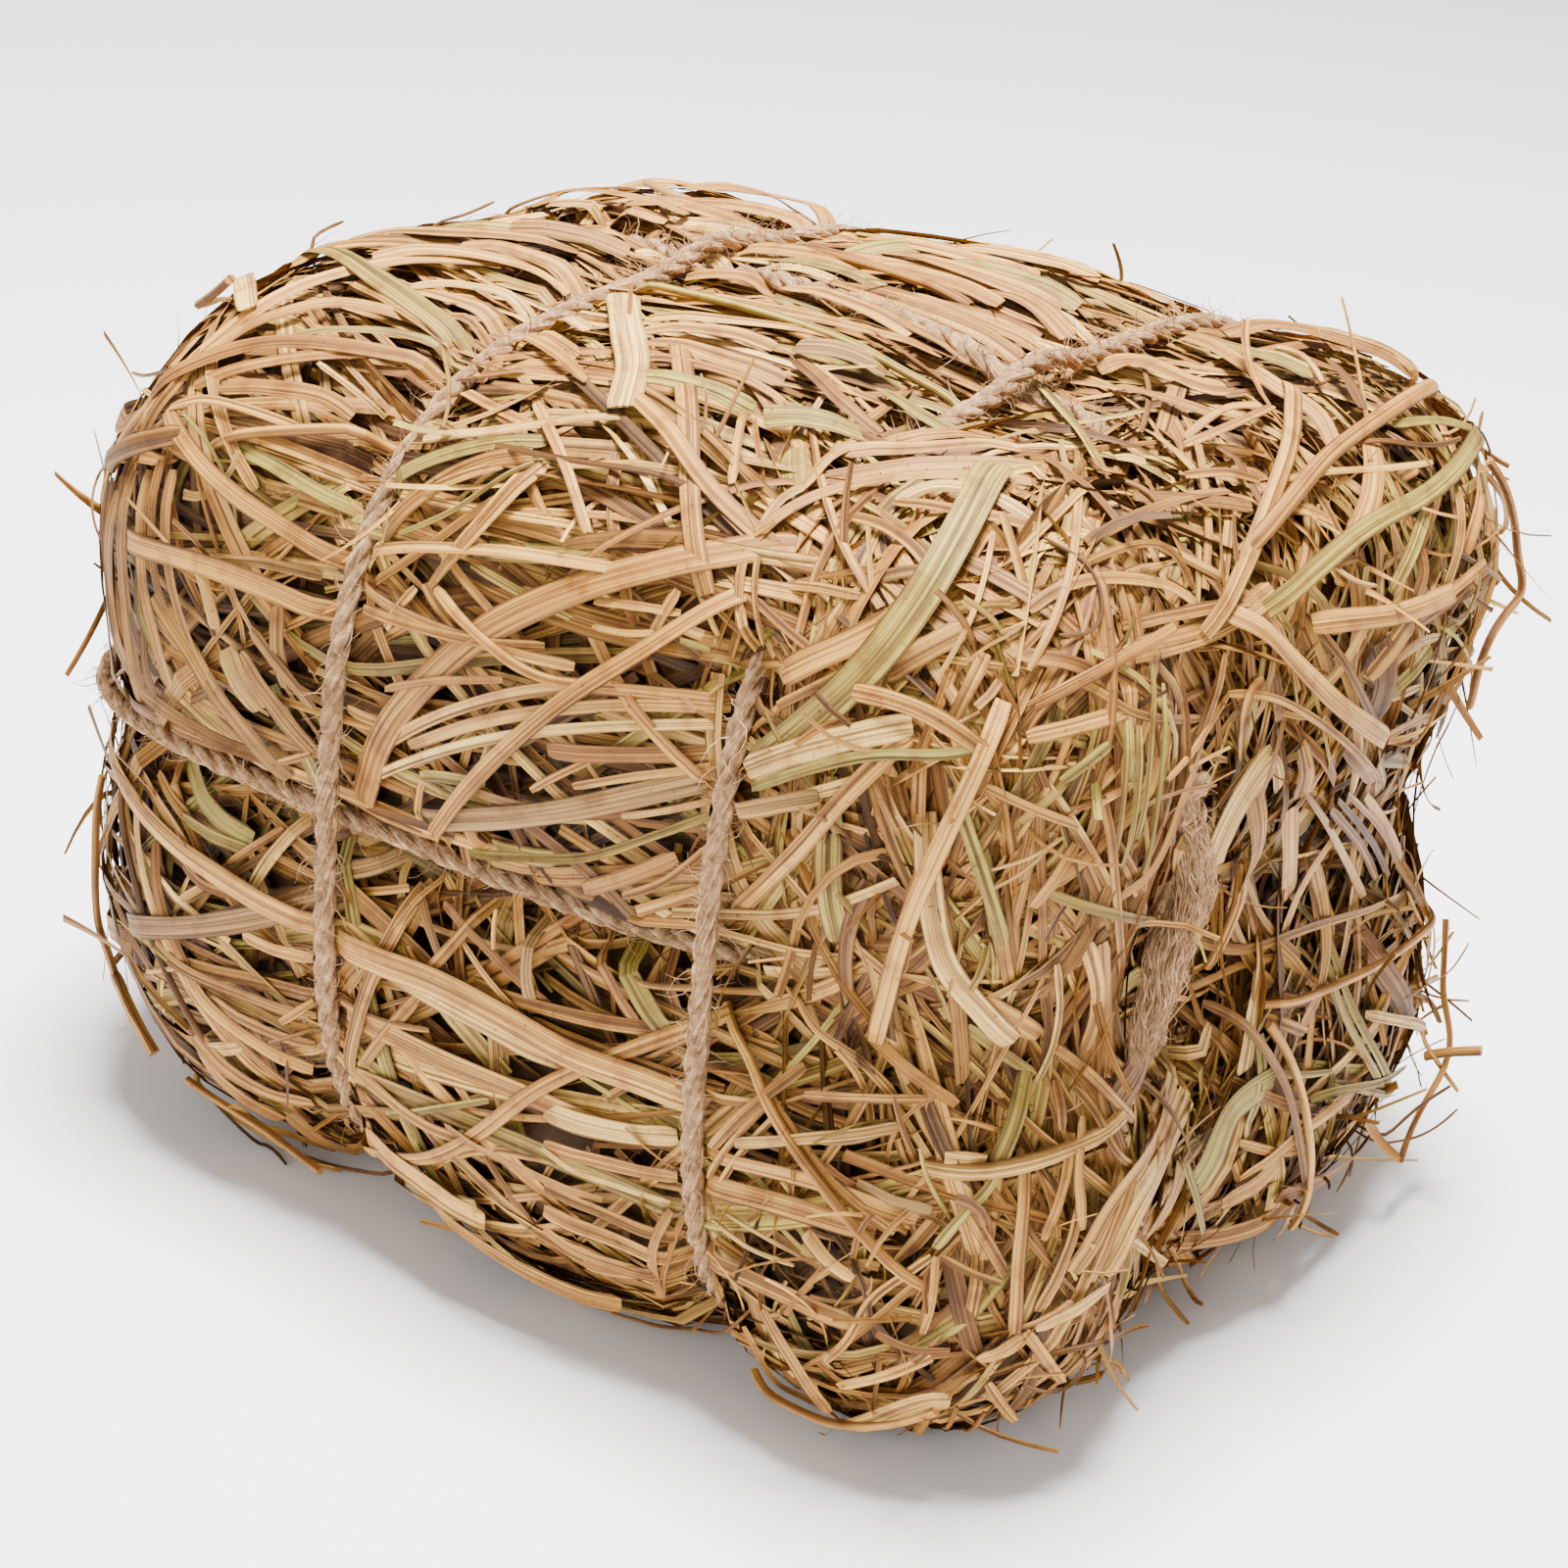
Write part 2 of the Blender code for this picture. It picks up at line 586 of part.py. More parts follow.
def make_loose(name, width, corners, is_stem, tree, finish):
    """One blade or stem on a route given in millimetres."""
    half_width = width / 2000
    half_height = half_width if is_stem else BLADE_THICKNESS / 2
    fine_step = BLADE_STEP / 4
    fine = smooth_route([Vector(c) / 1000 for c in corners], fine_step)
    fine = settled(fine, half_width, half_height, tree)
    for _ in range(6):
        for i in range(1, len(fine) - 1):
            middle = (fine[i - 1] + fine[i + 1]) / 2
            if (middle - fine[i]).dot(outward(fine[i])) > 0:
                fine[i] = fine[i].lerp(middle, 0.8)

    legs = max(1, round((len(fine) - 1) / 4))
    picks = [round((len(fine) - 1) * n / legs) for n in range(legs + 1)]
    points = []
    for n, pick in enumerate(picks):
        point, out = fine[pick], outward(fine[pick])
        low, high = picks[max(0, n - 1)], picks[min(legs, n + 1)]
        lift = 0.0
        for other in range(low, high + 1):
            if other == pick:
                continue
            end = picks[n - 1] if other < pick else picks[n + 1]
            share = (other - end) / (pick - end)
            chord = fine[end].lerp(point, share)
            lift = max(lift, (fine[other] - chord).dot(out))
        points.append(point + out * min(lift, HIGHEST_LIFT))

    def ring(i):
        along = direction_at(points, i, False)
        across = outward(points[i]).cross(along).normalized()
        rise = along.cross(across)
        if is_stem:
            turns = [2 * math.pi * s / STEM_SIDES for s in range(STEM_SIDES)]
            return [points[i] + half_width * (math.cos(t) * across + math.sin(t) * rise) for t in turns]
        taper = 0.55 if i in (0, len(points) - 1) else 1.0
        a, r = across * half_width * taper, rise * half_height
        return [points[i] + a - r, points[i] + a + r, points[i] - a + r, points[i] - a - r]

    return ring_tube(name, points, ring, False, finish)


def stand_on_ground(objects):
    """Moves the whole bale so that its box is centred on the origin and stands on z = 0."""
    corners = np.array([v.co for o in objects for v in o.data.vertices])
    low, high = corners.min(0), corners.max(0)
    shift = Vector((-(low[0] + high[0]) / 2, -(low[1] + high[1]) / 2, -FLOOR))
    for obj in objects:
        for v in obj.data.vertices:
            v.co += shift


def main():
    clear_scene()
    straw = material("packed_straw", (0.50, 0.34, 0.16), 0.85)
    jute = material("jute_twine", (0.38, 0.26, 0.15), 0.95)
    tan = material("dried_blade", (0.62, 0.44, 0.22), 0.75)
    green = material("greenish_blade", (0.52, 0.47, 0.22), 0.75)
    grey = material("weathered_blade", (0.45, 0.34, 0.22), 0.80)
    pale = material("pale_blade", (0.74, 0.62, 0.40), 0.70)

    up, back, along = Vector((0, 0, 1)), Vector((0, 1, 0)), Vector((1, 0, 0))
    paths = {
        "twine_level": (level_path(), up),
        "twine_upright": (upright_path(), back),
        "twine_girth_left": (girth_path(0), along),
        "twine_girth_right": (girth_path(1), along),
    }
    pieces = [make_block([path for path, _ in paths.values()], straw)]
    pieces += [make_twine(name, path, normal, jute) for name, (path, normal) in paths.items()]
    pieces += [make_knot(jute), make_tail(jute)]
    for group, is_stem in ((BLADES, False), (STEMS, True)):
        for name, (width, *corners) in group.items():
            finish = tan
            for word, colour in (("green", green), ("grey", grey), ("pale", pale)):
                finish = colour if word in name else finish
            pieces.append(make_loose(name, width, corners, is_stem, surface_of(pieces), finish))
    stand_on_ground(pieces)


main()
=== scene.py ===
import math

import bpy
import numpy as np
from mathutils import Matrix, Vector
from mathutils.bvhtree import BVHTree
from mathutils.kdtree import KDTree


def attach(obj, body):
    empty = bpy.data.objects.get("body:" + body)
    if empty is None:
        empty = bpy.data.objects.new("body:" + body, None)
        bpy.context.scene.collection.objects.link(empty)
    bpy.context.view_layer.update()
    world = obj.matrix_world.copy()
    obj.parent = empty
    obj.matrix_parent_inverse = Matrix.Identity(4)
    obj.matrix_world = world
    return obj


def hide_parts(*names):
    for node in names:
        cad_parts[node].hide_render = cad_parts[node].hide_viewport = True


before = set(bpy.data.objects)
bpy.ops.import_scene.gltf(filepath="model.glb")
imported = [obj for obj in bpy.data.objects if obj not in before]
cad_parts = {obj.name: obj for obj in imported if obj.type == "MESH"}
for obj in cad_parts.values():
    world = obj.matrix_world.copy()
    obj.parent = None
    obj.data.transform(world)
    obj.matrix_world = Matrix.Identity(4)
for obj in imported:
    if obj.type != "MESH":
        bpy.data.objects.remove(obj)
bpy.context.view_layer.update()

BODY = "root"
MM = 0.001

# The photograph's camera: its square frame in pixels, and where it stands in metres
PICTURE = 1600
FOCAL_PIXELS = 3474.8
CAMERA_AT = Vector((0.192633, -0.286806, 0.203010))
CAMERA_TURN = 0.5862
CAMERA_DIP = 0.4362
CAMERA_ROLL = 0.0753
SENSOR = 36.0

# The bale's middle and packed half size, and the softness of its corners
BALE_MIDDLE = Vector((-0.0017075, -0.0006562, 0.0475))
BALE_HALF = Vector((0.0701, 0.0543, 0.0520))
CORNER_SOFTNESS = 0.030
FLOOR_BELOW_MIDDLE = -0.0475
TOP_LEAN = 0.0156

# The four jute twines
GIRTH_AT = (-0.0161, 0.0321)
GIRTH_HALF_DEPTH = (0.0527, 0.0533)
GIRTH_TOP = (0.0496, 0.0503)
TWINE_RADIUS = 0.0015
TWINE_LAY = 0.0095
CROSSING_WIDTH = 0.0065
UNDER_TWINE = 0.00168
TWINE_CLEARANCE = 4.5 * MM

# Straw: how near the ground its middle line may come, its widths in millimetres, how deep the dark bed
# of painted shadow lies, and how steeply the straw falls towards a twine on the top and on the other sides
LOWEST_STRAW = 0.0006
WIDEST_BLADE = 3.6
WIDEST_RANDOM_BLADE = 2.9
NARROWEST_RANDOM_BLADE = 0.45
SLOPE_ON_TOP = 0.9
SLOPE_ELSEWHERE = 1.8
SHADOW_BED_DEPTH = 3.4 * MM

# The knot on the cut end, its lay and the length of its fibres, and the frayed tail below it
KNOT_AT = (0.0660, -0.0255, 0.0225)
KNOT_LAY = 0.0075
KNOT_FIBRES = 0.0022
KNOT_POINTS = 60
TAIL_FIBRES = 900
TAIL_ROUTE = (
    (0.0670, -0.0240, 0.0178),
    (0.0672, -0.0234, 0.0126),
    (0.0670, -0.0260, 0.0077),
    (0.0668, -0.0266, 0.0034),
    (0.0666, -0.0280, 0.0004),
)


def bump(distance, width):
    return math.exp(-((distance / width) ** 2))


def ramp(value, start, end):
    return min(1.0, max(0.0, (value - start) / (end - start)))


def outward(point):
    """The way out of the bale, away from an inner box, so that it turns smoothly at the edges."""
    local = point - BALE_MIDDLE
    nearest = [
        max(CORNER_SOFTNESS - half, min(half - CORNER_SOFTNESS, v))
        for v, half in zip(local, BALE_HALF)
    ]
    away = local - Vector(nearest)
    return (away if away.length > 1e-6 else local).normalized()


def linked(name, data):
    """A new object of the data, in the scene."""
    made = bpy.data.objects.new(name, data)
    bpy.context.scene.collection.objects.link(made)
    return made


# The camera
def view_axes():
    """Right, up and ahead of the photograph's camera."""
    ahead = Vector(
        (
            -math.sin(CAMERA_TURN) * math.cos(CAMERA_DIP),
            math.cos(CAMERA_TURN) * math.cos(CAMERA_DIP),
            -math.sin(CAMERA_DIP),
        )
    )
    level = ahead.cross(Vector((0, 0, 1))).normalized()
    rise = level.cross(ahead)
    c, s = math.cos(CAMERA_ROLL), math.sin(CAMERA_ROLL)
    return c * level + s * rise, c * rise - s * level, ahead


RIGHT, UP, AHEAD = view_axes()


def make_camera():
    data = bpy.data.cameras.new("photo_camera")
    data.sensor_width = SENSOR
    data.lens = FOCAL_PIXELS * SENSOR / PICTURE
    data.clip_start = 0.01
    data.clip_end = 10.0
    camera = linked("photo_camera", data)
    turn = Matrix((RIGHT, UP, -AHEAD)).transposed().to_4x4()
    camera.matrix_world = Matrix.Translation(CAMERA_AT) @ turn
    bpy.context.scene.camera = camera


# Twine routes, measured from the bale's middle
def loop_reach(angle, right, left, top, bottom, roundness):
    """A point of a rounded loop whose four sides lie at their own distances."""
    u, v = math.cos(angle), math.sin(angle)
    power = roundness[(0 if u > 0 else 1) if v > 0 else (3 if u > 0 else 2)]
    side = abs(u) / (right if u > 0 else left)
    level = abs(v) / (top if v > 0 else bottom)
    reach = (side**power + level**power) ** (-1 / power)
    return reach * u, reach * v


def upright_y(x, z):
    return 0.0042 - 0.236 * x - 0.014 * ramp(x, 0.042, 0.064) * ramp(z, -0.040, 0.040)


def girth_point(index, angle):
    x = GIRTH_AT[index]
    top, depth = GIRTH_TOP[index], GIRTH_HALF_DEPTH[index]
    y, z = loop_reach(angle, depth, depth, top, top, (4.0, 3.1, 3.1, 4.0))
    if z > 0:
        z += 0.0020 * bump(y - upright_y(x, top), CROSSING_WIDTH)
    z = max(z, FLOOR_BELOW_MIDDLE + TWINE_RADIUS + 0.0007)
    return Vector((x + TOP_LEAN * z, y, z)) + BALE_MIDDLE


def level_point(angle):
    x, y = loop_reach(angle, 0.0560, 0.0667, 0.0483, 0.0483, (6.0, 5.0, 5.0, 2.8))
    return Vector((x, y, 0.0013)) + BALE_MIDDLE


def upright_point(angle):
    x, z = loop_reach(angle, 0.0612, 0.0703, 0.0505, 0.0408, (3.5, 2.9, 4.0, 4.0))
    if z > 0:
        z += 0.05 * x * ramp(z, 0.02, 0.045)
        z -= 0.0018 * sum(bump(x - at, CROSSING_WIDTH) for at in GIRTH_AT)
    return Vector((x, upright_y(x, z), z)) + BALE_MIDDLE


def loop_points(point_at, spacing=1.0 * MM):
    """A closed loop as evenly spaced points."""
    fine = [point_at(2 * math.pi * n / 1440) for n in range(1440)]
    fine.append(fine[0])
    lengths = np.cumsum([0.0] + [(b - a).length for a, b in zip(fine, fine[1:])])
    count = round(lengths[-1] / spacing)
    marks = np.linspace(0, lengths[-1], count, endpoint=False)
    table = np.array(fine)
    return np.stack([np.interp(marks, lengths, table[:, k]) for k in range(3)], 1), lengths[-1]


TWINES = {
    "twine_level": loop_points(level_point),
    "twine_upright": loop_points(upright_point),
    "twine_girth_left": loop_points(lambda a: girth_point(0, a)),
    "twine_girth_right": loop_points(lambda a: girth_point(1, a)),
}

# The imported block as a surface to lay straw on, and how far straw reaches over its grooves
SPAN_REACH = 20 * MM
SPAN_ROUNDNESS = 34 * MM


def corners_once(data):
    """A mesh's corners, each once, and which of them each of its vertices is."""
    raw = np.zeros(len(data.vertices) * 3)
    data.vertices.foreach_get("co", raw)
    raw = raw.reshape(-1, 3)
    _, first, index = np.unique(np.round(raw, 6), axis=0, return_index=True, return_inverse=True)
    return raw[first], index.reshape(-1)


def block_mesh():
    """The block's corners, each once, and its triangles."""
    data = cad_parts["straw_block"].data
    points, index = corners_once(data)
    data.calc_loop_triangles()
    faces = np.zeros(len(data.loop_triangles) * 3, int)
    data.loop_triangles.foreach_get("vertices", faces)
    return points, index[faces].reshape(-1, 3)


BLOCK_POINTS, BLOCK_FACES = block_mesh()


def spanned_points():
    """The block's points raised to where straw spans its grooves, as a ball rolled over it would."""
    outs = np.array([outward(Vector(p)) for p in BLOCK_POINTS])
    lifts = []
    for point, out in zip(BLOCK_POINTS, outs):
        gap = BLOCK_POINTS - point
        height = gap @ out
        aside = (gap**2).sum(1) - height**2
        near = aside < SPAN_REACH**2
        lifts.append(max(0.0, (height[near] - aside[near] / (2 * SPAN_ROUNDNESS)).max()))
    return BLOCK_POINTS + outs * np.array(lifts)[:, None]


STRAW_POINTS = spanned_points()
STRAW = BVHTree.FromPolygons(STRAW_POINTS.tolist(), BLOCK_FACES.tolist())


def ray_of(pixel_x, pixel_y):
    half = PICTURE / 2
    ray = AHEAD + RIGHT * ((pixel_x - half) / FOCAL_PIXELS) + UP * ((half - pixel_y) / FOCAL_PIXELS)
    return ray.normalized()


def seen_at(pixel_x, pixel_y):
    """Where the camera's ray through a pixel of the photograph meets the straw, or None."""
    return STRAW.ray_cast(CAMERA_AT, ray_of(pixel_x, pixel_y))[0]


def pixel_of(point):
    """The photograph's pixel at which a point is seen."""
    gap = point - CAMERA_AT
    depth = gap.dot(AHEAD)
    half = PICTURE / 2
    aside = FOCAL_PIXELS * gap.dot(RIGHT) / depth
    above = FOCAL_PIXELS * gap.dot(UP) / depth
    return Vector((half + aside, half - above))


# Where straw lies over a twine in the photograph: the twine and the box of pixels
HIDDEN_TWINES = (
    ("twine_girth_right", (775, 395, 1050, 680)),
    ("twine_level", (770, 700, 1190, 1100)),
    ("twine_upright", (840, 240, 1600, 690)),
)


def near_twine_finder():
    """The points of the twines that no straw covers."""
    shown = []
    for name, (points, _) in TWINES.items():
        boxes = [box for twine, box in HIDDEN_TWINES if twine == name]
        for point in map(Vector, points):
            spot = pixel_of(point)
            faces_camera = outward(point).dot(CAMERA_AT - point) > 0
            inside = any(b[0] < spot.x < b[2] and b[1] < spot.y < b[3] for b in boxes)
            if not (faces_camera and inside):
                shown.append(point)
    tree = KDTree(len(shown))
    for n, point in enumerate(shown):
        tree.insert(point, n)
    tree.balance()
    return tree


TWINE_FINDER = near_twine_finder()


def real_width(point, along, out, pixels):
    """The width of a blade that lies flat at a point and looks so many pixels wide."""
    side = along.cross(out).normalized()
    here = pixel_of(point)
    run = (pixel_of(point + along * MM) - here).normalized()
    reach = pixel_of(point + side * MM) - here
    per_mm = max(3.2, abs(reach.x * run.y - reach.y * run.x))
    return min(WIDEST_BLADE, pixels / per_mm) * MM


def pressed_under_twines(point, out):
    """Moves a point of straw below the twine that crosses it, or down the slope beside the twine."""
    near, _, distance = TWINE_FINDER.find(point)
    if distance > TWINE_CLEARANCE:
        return point
    gap = point - near
    height = gap.dot(out)
    aside = (gap - out * height).length
    if aside < UNDER_TWINE:
        highest = -math.sqrt(UNDER_TWINE**2 - aside**2)
    else:
        slope = SLOPE_ON_TOP if out.z > 0.4 else SLOPE_ELSEWHERE
        highest = (aside - UNDER_TWINE) * slope
    if height > highest:
        return point + out * (highest - height)
    return point


class Strands:
    """Chains of points waiting to be swept into blades, stems or fibres."""

    def __init__(self):
        self.points = []
        self.facing = []
        self.width = []
        self.look = []
        self.starts = []
        self.total = 0

    def add(self, points, facing, width, look):
        points = np.array(points, float)
        points[:, 2] = np.maximum(points[:, 2], LOWEST_STRAW)
        facing = np.asarray(facing, float)
        along = np.gradient(points, axis=0)
        along /= np.maximum(np.linalg.norm(along, axis=1, keepdims=True), 1e-9)
        facing = facing - (facing * along).sum(1, keepdims=True) * along
        facing /= np.maximum(np.linalg.norm(facing, axis=1, keepdims=True), 1e-9)
        self.points.append(points)
        self.facing.append(facing)
        self.width.append(np.broadcast_to(np.asarray(width, float), len(points)))
        self.look.append(np.broadcast_to(np.asarray(look, float), (len(points), 3)))
        self.starts.append(self.total)
        self.total += len(points)

    def mesh(self, name, closed=False):
        data = bpy.data.meshes.new(name)
        points = np.concatenate(self.points)
        chain = np.arange(self.total - 1)
        starts = np.array(self.starts[1:]) - 1
        edges = np.stack([chain, chain + 1], 1)
        edges = np.delete(edges, starts, axis=0) if len(starts) else edges
        if closed:
            edges = np.concatenate([edges, [[self.total - 1, 0]]])
        data.from_pydata(points.tolist(), edges.tolist(), [])
        for key, kind, values in (
            ("facing", "FLOAT_VECTOR", np.concatenate(self.facing)),
            ("width", "FLOAT", np.concatenate(self.width)),
            ("look", "FLOAT_VECTOR", np.concatenate(self.look)),
        ):
            attribute = data.attributes.new(key, kind, "POINT")
            field = "vector" if kind == "FLOAT_VECTOR" else "value"
            attribute.data.foreach_set(field, values.astype(np.float32).ravel())
        return data


# Geometry node trees
def new_tree(name, sizes):
    """An empty tree with a geometry input, the named sizes and a geometry output."""
    tree = bpy.data.node_groups.new(name, "GeometryNodeTree")
    face = tree.interface
    face.new_socket("Geometry", in_out="INPUT", socket_type="NodeSocketGeometry")
    for label, (kind, value) in sizes.items():
        socket = face.new_socket(label, in_out="INPUT", socket_type="NodeSocket" + kind)
        if value is not None:
            socket.default_value = value
    face.new_socket("Geometry", in_out="OUTPUT", socket_type="NodeSocketGeometry")
    return tree


class Wiring:
    """Adds nodes to a tree and joins them in one call each."""

    def __init__(self, tree):
        self.tree = tree
        self.inputs = tree.nodes.new("NodeGroupInput")

    def given(self, label):
        return self.inputs.outputs[label]

    def node(self, kind, settings=None, **sockets):
        made = self.tree.nodes.new(kind)
        for key, value in (settings or {}).items():
            setattr(made, key, value)
        for label, value in sockets.items():
            self.feed(made, label.replace("_", " "), value)
        return made

    def feed(self, made, label, value):
        if isinstance(label, int):
            socket = made.inputs[label]
        else:
            socket = next(s for s in made.inputs if s.name == label and s.enabled)
        if isinstance(value, bpy.types.NodeSocket):
            self.tree.links.new(value, socket)
        else:
            socket.default_value = value

    def math(self, operation, a, b=0.0, c=0.0):
        made = self.tree.nodes.new("ShaderNodeMath")
        made.operation = operation
        for n, value in enumerate((a, b, c)):
            self.feed(made, n, value)
        return made.outputs[0]

    def vector_math(self, operation, a, b=(0, 0, 0), scale=None):
        made = self.tree.nodes.new("ShaderNodeVectorMath")
        made.operation = operation
        self.feed(made, 0, a)
        if scale is None:
            self.feed(made, 1, b)
        else:
            self.feed(made, 3, scale)
        return made.outputs[0]

    def attribute(self, name, kind):
        made = self.node("GeometryNodeInputNamedAttribute", {"data_type": kind}, Name=name)
        return made.outputs["Attribute"]

    def capture(self, geometry, value, kind):
        made = self.tree.nodes.new("GeometryNodeCaptureAttribute")
        made.capture_items.new(kind, "kept")
        self.tree.links.new(geometry, made.inputs[0])
        self.tree.links.new(value, made.inputs[1])
        return made.outputs[0], made.outputs[1]

    def faced_line(self):
        """The chain as a curve that faces the way its points hold, and the length along it."""
        chain = self.node("GeometryNodeMeshToCurve", Mesh=self.given("Geometry"))
        faced = self.node(
            "GeometryNodeSetCurveNormal",
            {"mode": "FREE"},
            Curve=chain.outputs[0],
            Normal=self.attribute("facing", "FLOAT_VECTOR"),
        )
        length = self.node("GeometryNodeSplineParameter").outputs["Length"]
        return self.capture(faced.outputs[0], length, "FLOAT")

    def swept(self, line, section, scale, is_capped=True):
        made = self.node("GeometryNodeCurveToMesh", Curve=line, Profile_Curve=section, Scale=scale)
        self.feed(made, "Fill Caps", is_capped)
        return made.outputs[0]

    def stored(self, geometry, name, value, kind, domain):
        made = self.node(
            "GeometryNodeStoreNamedAttribute",
            {"data_type": kind, "domain": domain},
            Geometry=geometry,
            Name=name,
            Value=value,
        )
        return made.outputs[0]

    def finish(self, geometry, is_smooth=True):
        smooth = self.tree.nodes.new("GeometryNodeSetShadeSmooth")
        self.feed(smooth, "Geometry", geometry)
        self.feed(smooth, "Shade Smooth", is_smooth)
        painted = self.node(
            "GeometryNodeSetMaterial", Geometry=smooth.outputs[0], Material=self.given("Material")
        )
        whole = self.node("GeometryNodeRealizeInstances", Geometry=painted.outputs[0])
        end = self.tree.nodes.new("NodeGroupOutput")
        self.tree.links.new(whole.outputs[0], end.inputs[0])


def sweep_tree():
    """Sweeps a flat or cupped section along each chain, at the width that its points hold."""
    tree = new_tree(
        "sweep_blades",
        {
            "Section sides": ("Int", 6),
            "Thickness share": ("Float", 0.12),
            "Cup share": ("Float", 0.10),
            "Material": ("Material", None),
        },
    )
    w = Wiring(tree)
    line, along = w.faced_line()

    ring = w.node("GeometryNodeCurvePrimitiveCircle", Resolution=w.given("Section sides"), Radius=0.5)
    spot = w.node("GeometryNodeInputPosition").outputs[0]
    parts = w.node("ShaderNodeSeparateXYZ", Vector=spot).outputs
    squared = w.math("MULTIPLY", parts[0], parts[0])
    cupped = w.math("MULTIPLY", squared, w.given("Cup share"))
    raised = w.math("MULTIPLY_ADD", parts[1], w.given("Thickness share"), cupped)
    flat = w.node("ShaderNodeCombineXYZ", X=raised, Y=parts[0])
    measured, across = w.capture(ring.outputs[0], parts[0], "FLOAT")
    section = w.node("GeometryNodeSetPosition", Geometry=measured, Position=flat.outputs[0]).outputs[0]

    width = w.attribute("width", "FLOAT")
    body = w.swept(line, section, width)
    place = w.node("ShaderNodeCombineXYZ", X=w.math("MULTIPLY", across, width), Y=along)
    mapped = w.stored(body, "UVMap", place.outputs[0], "FLOAT2", "CORNER")
    w.finish(w.stored(mapped, "across", across, "FLOAT", "POINT"), is_smooth=False)
    return tree


def lay_tree():
    """Winds plies round each other along a chain, as a twine is laid."""
    tree = new_tree(
        "lay_twine",
        {
            "Plies": ("Int", 3),
            "Ply radius": ("Float", 0.00066),
            "Ply offset": ("Float", 0.00054),
            "Lay length": ("Float", TWINE_LAY),
            "Unevenness": ("Float", 0.8),
            "Material": ("Material", None),
        },
    )
    w = Wiring(tree)
    line, along = w.faced_line()
    copies = w.node(
        "GeometryNodeDuplicateElements", {"domain": "SPLINE"}, Geometry=line, Amount=w.given("Plies")
    )
    share = w.math("DIVIDE", copies.outputs["Duplicate Index"], w.given("Plies"))
    turns = w.math("ADD", w.math("DIVIDE", along, w.given("Lay length")), share)
    angle = w.math("MULTIPLY", turns, 2 * math.pi)
    normal = w.node("GeometryNodeInputNormal").outputs[0]
    tangent = w.node("GeometryNodeInputTangent").outputs[0]
    side = w.vector_math("CROSS_PRODUCT", tangent, normal)
    reach = w.vector_math(
        "ADD",
        w.vector_math("SCALE", normal, scale=w.math("COSINE", angle)),
        w.vector_math("SCALE", side, scale=w.math("SINE", angle)),
    )
    offset = w.vector_math("SCALE", reach, scale=w.given("Ply offset"))
    wound = w.node("GeometryNodeSetPosition", Geometry=copies.outputs[0], Offset=offset)

    ring = w.node("GeometryNodeCurvePrimitiveCircle", Resolution=8, Radius=1.0)
    factor = w.node("GeometryNodeSplineParameter").outputs["Factor"]
    section, around = w.capture(ring.outputs[0], factor, "FLOAT")
    rough = w.node("ShaderNodeTexNoise", Scale=420.0, Detail=2.0)
    swell = w.math("MULTIPLY", w.math("SUBTRACT", rough.outputs[0], 0.5), w.given("Unevenness"))
    radius = w.math("MULTIPLY", w.given("Ply radius"), w.math("ADD", swell, 1.0))
    body = w.swept(wound.outputs[0], section, radius)
    place = w.node("ShaderNodeCombineXYZ", X=around, Y=along)
    w.finish(w.stored(body, "UVMap", place.outputs[0], "FLOAT2", "CORNER"))
    return tree


def fuzz_tree():
    """Stands short bent fibres on a twine."""
    tree = new_tree(
        "raise_fuzz",
        {
            "Fibres per square metre": ("Float", 430000.0),
            "Fibre length": ("Float", 0.0030),
            "Fibre radius": ("Float", 0.000050),
            "Seed": ("Int", 4),
            "Material": ("Material", None),
        },
    )
    w = Wiring(tree)
    spots = w.node(
        "GeometryNodeDistributePointsOnFaces",
        Mesh=w.given("Geometry"),
        Density=w.given("Fibres per square metre"),
        Seed=w.given("Seed"),
    )
    bow = w.node(
        "GeometryNodeCurveQuadraticBezier",
        Resolution=3,
        Start=(0.0, 0.0, -0.05),
        Middle=(0.1, 0.1, 0.5),
        End=(0.75, 0.0, 0.55),
    )
    taper = w.node("GeometryNodeSplineParameter").outputs["Factor"]
    slim = w.math("MULTIPLY", w.math("SUBTRACT", 1.15, taper), w.given("Fibre radius"))
    ratio = w.math("DIVIDE", slim, w.given("Fibre length"))
    ring = w.node("GeometryNodeCurvePrimitiveCircle", Resolution=3, Radius=1.0)
    fibre = w.swept(bow.outputs[0], ring.outputs[0], ratio, is_capped=False)
    spin = w.node(
        "FunctionNodeRandomValue",
        {"data_type": "FLOAT_VECTOR"},
        Min=(-0.7, -0.7, 0.0),
        Max=(0.7, 0.7, 6.283),
        Seed=w.given("Seed"),
    )
    spun = w.node(
        "FunctionNodeRotateRotation",
        {"rotation_space": "LOCAL"},
        Rotation=spots.outputs["Rotation"],
        Rotate_By=spin.outputs[0],
    )
    size = w.node("FunctionNodeRandomValue", {"data_type": "FLOAT"}, Min=0.35, Max=1.5, Seed=11)
    placed = w.node(
        "GeometryNodeInstanceOnPoints",
        Points=spots.outputs[0],
        Instance=fibre,
        Rotation=spun.outputs[0],
        Scale=w.math("MULTIPLY", size.outputs["Value"], w.given("Fibre length")),
    )
    w.finish(placed.outputs[0])
    return tree


def grown(name, source, tree, sizes):
    """Runs a node tree on a mesh and keeps the result as a plain object."""
    carrier = linked(name + "_source", source)
    modifier = carrier.modifiers.new("Grow", "NODES")
    modifier.node_group = tree
    for item in tree.interface.items_tree:
        if item.in_out == "INPUT" and item.name in sizes:
            modifier[item.identifier] = sizes[item.name]
    bpy.context.view_layer.update()
    evaluated = carrier.evaluated_get(bpy.context.evaluated_depsgraph_get())
    data = bpy.data.meshes.new_from_object(evaluated)
    data.name = name
    bpy.data.objects.remove(carrier)
    return linked(name, data)


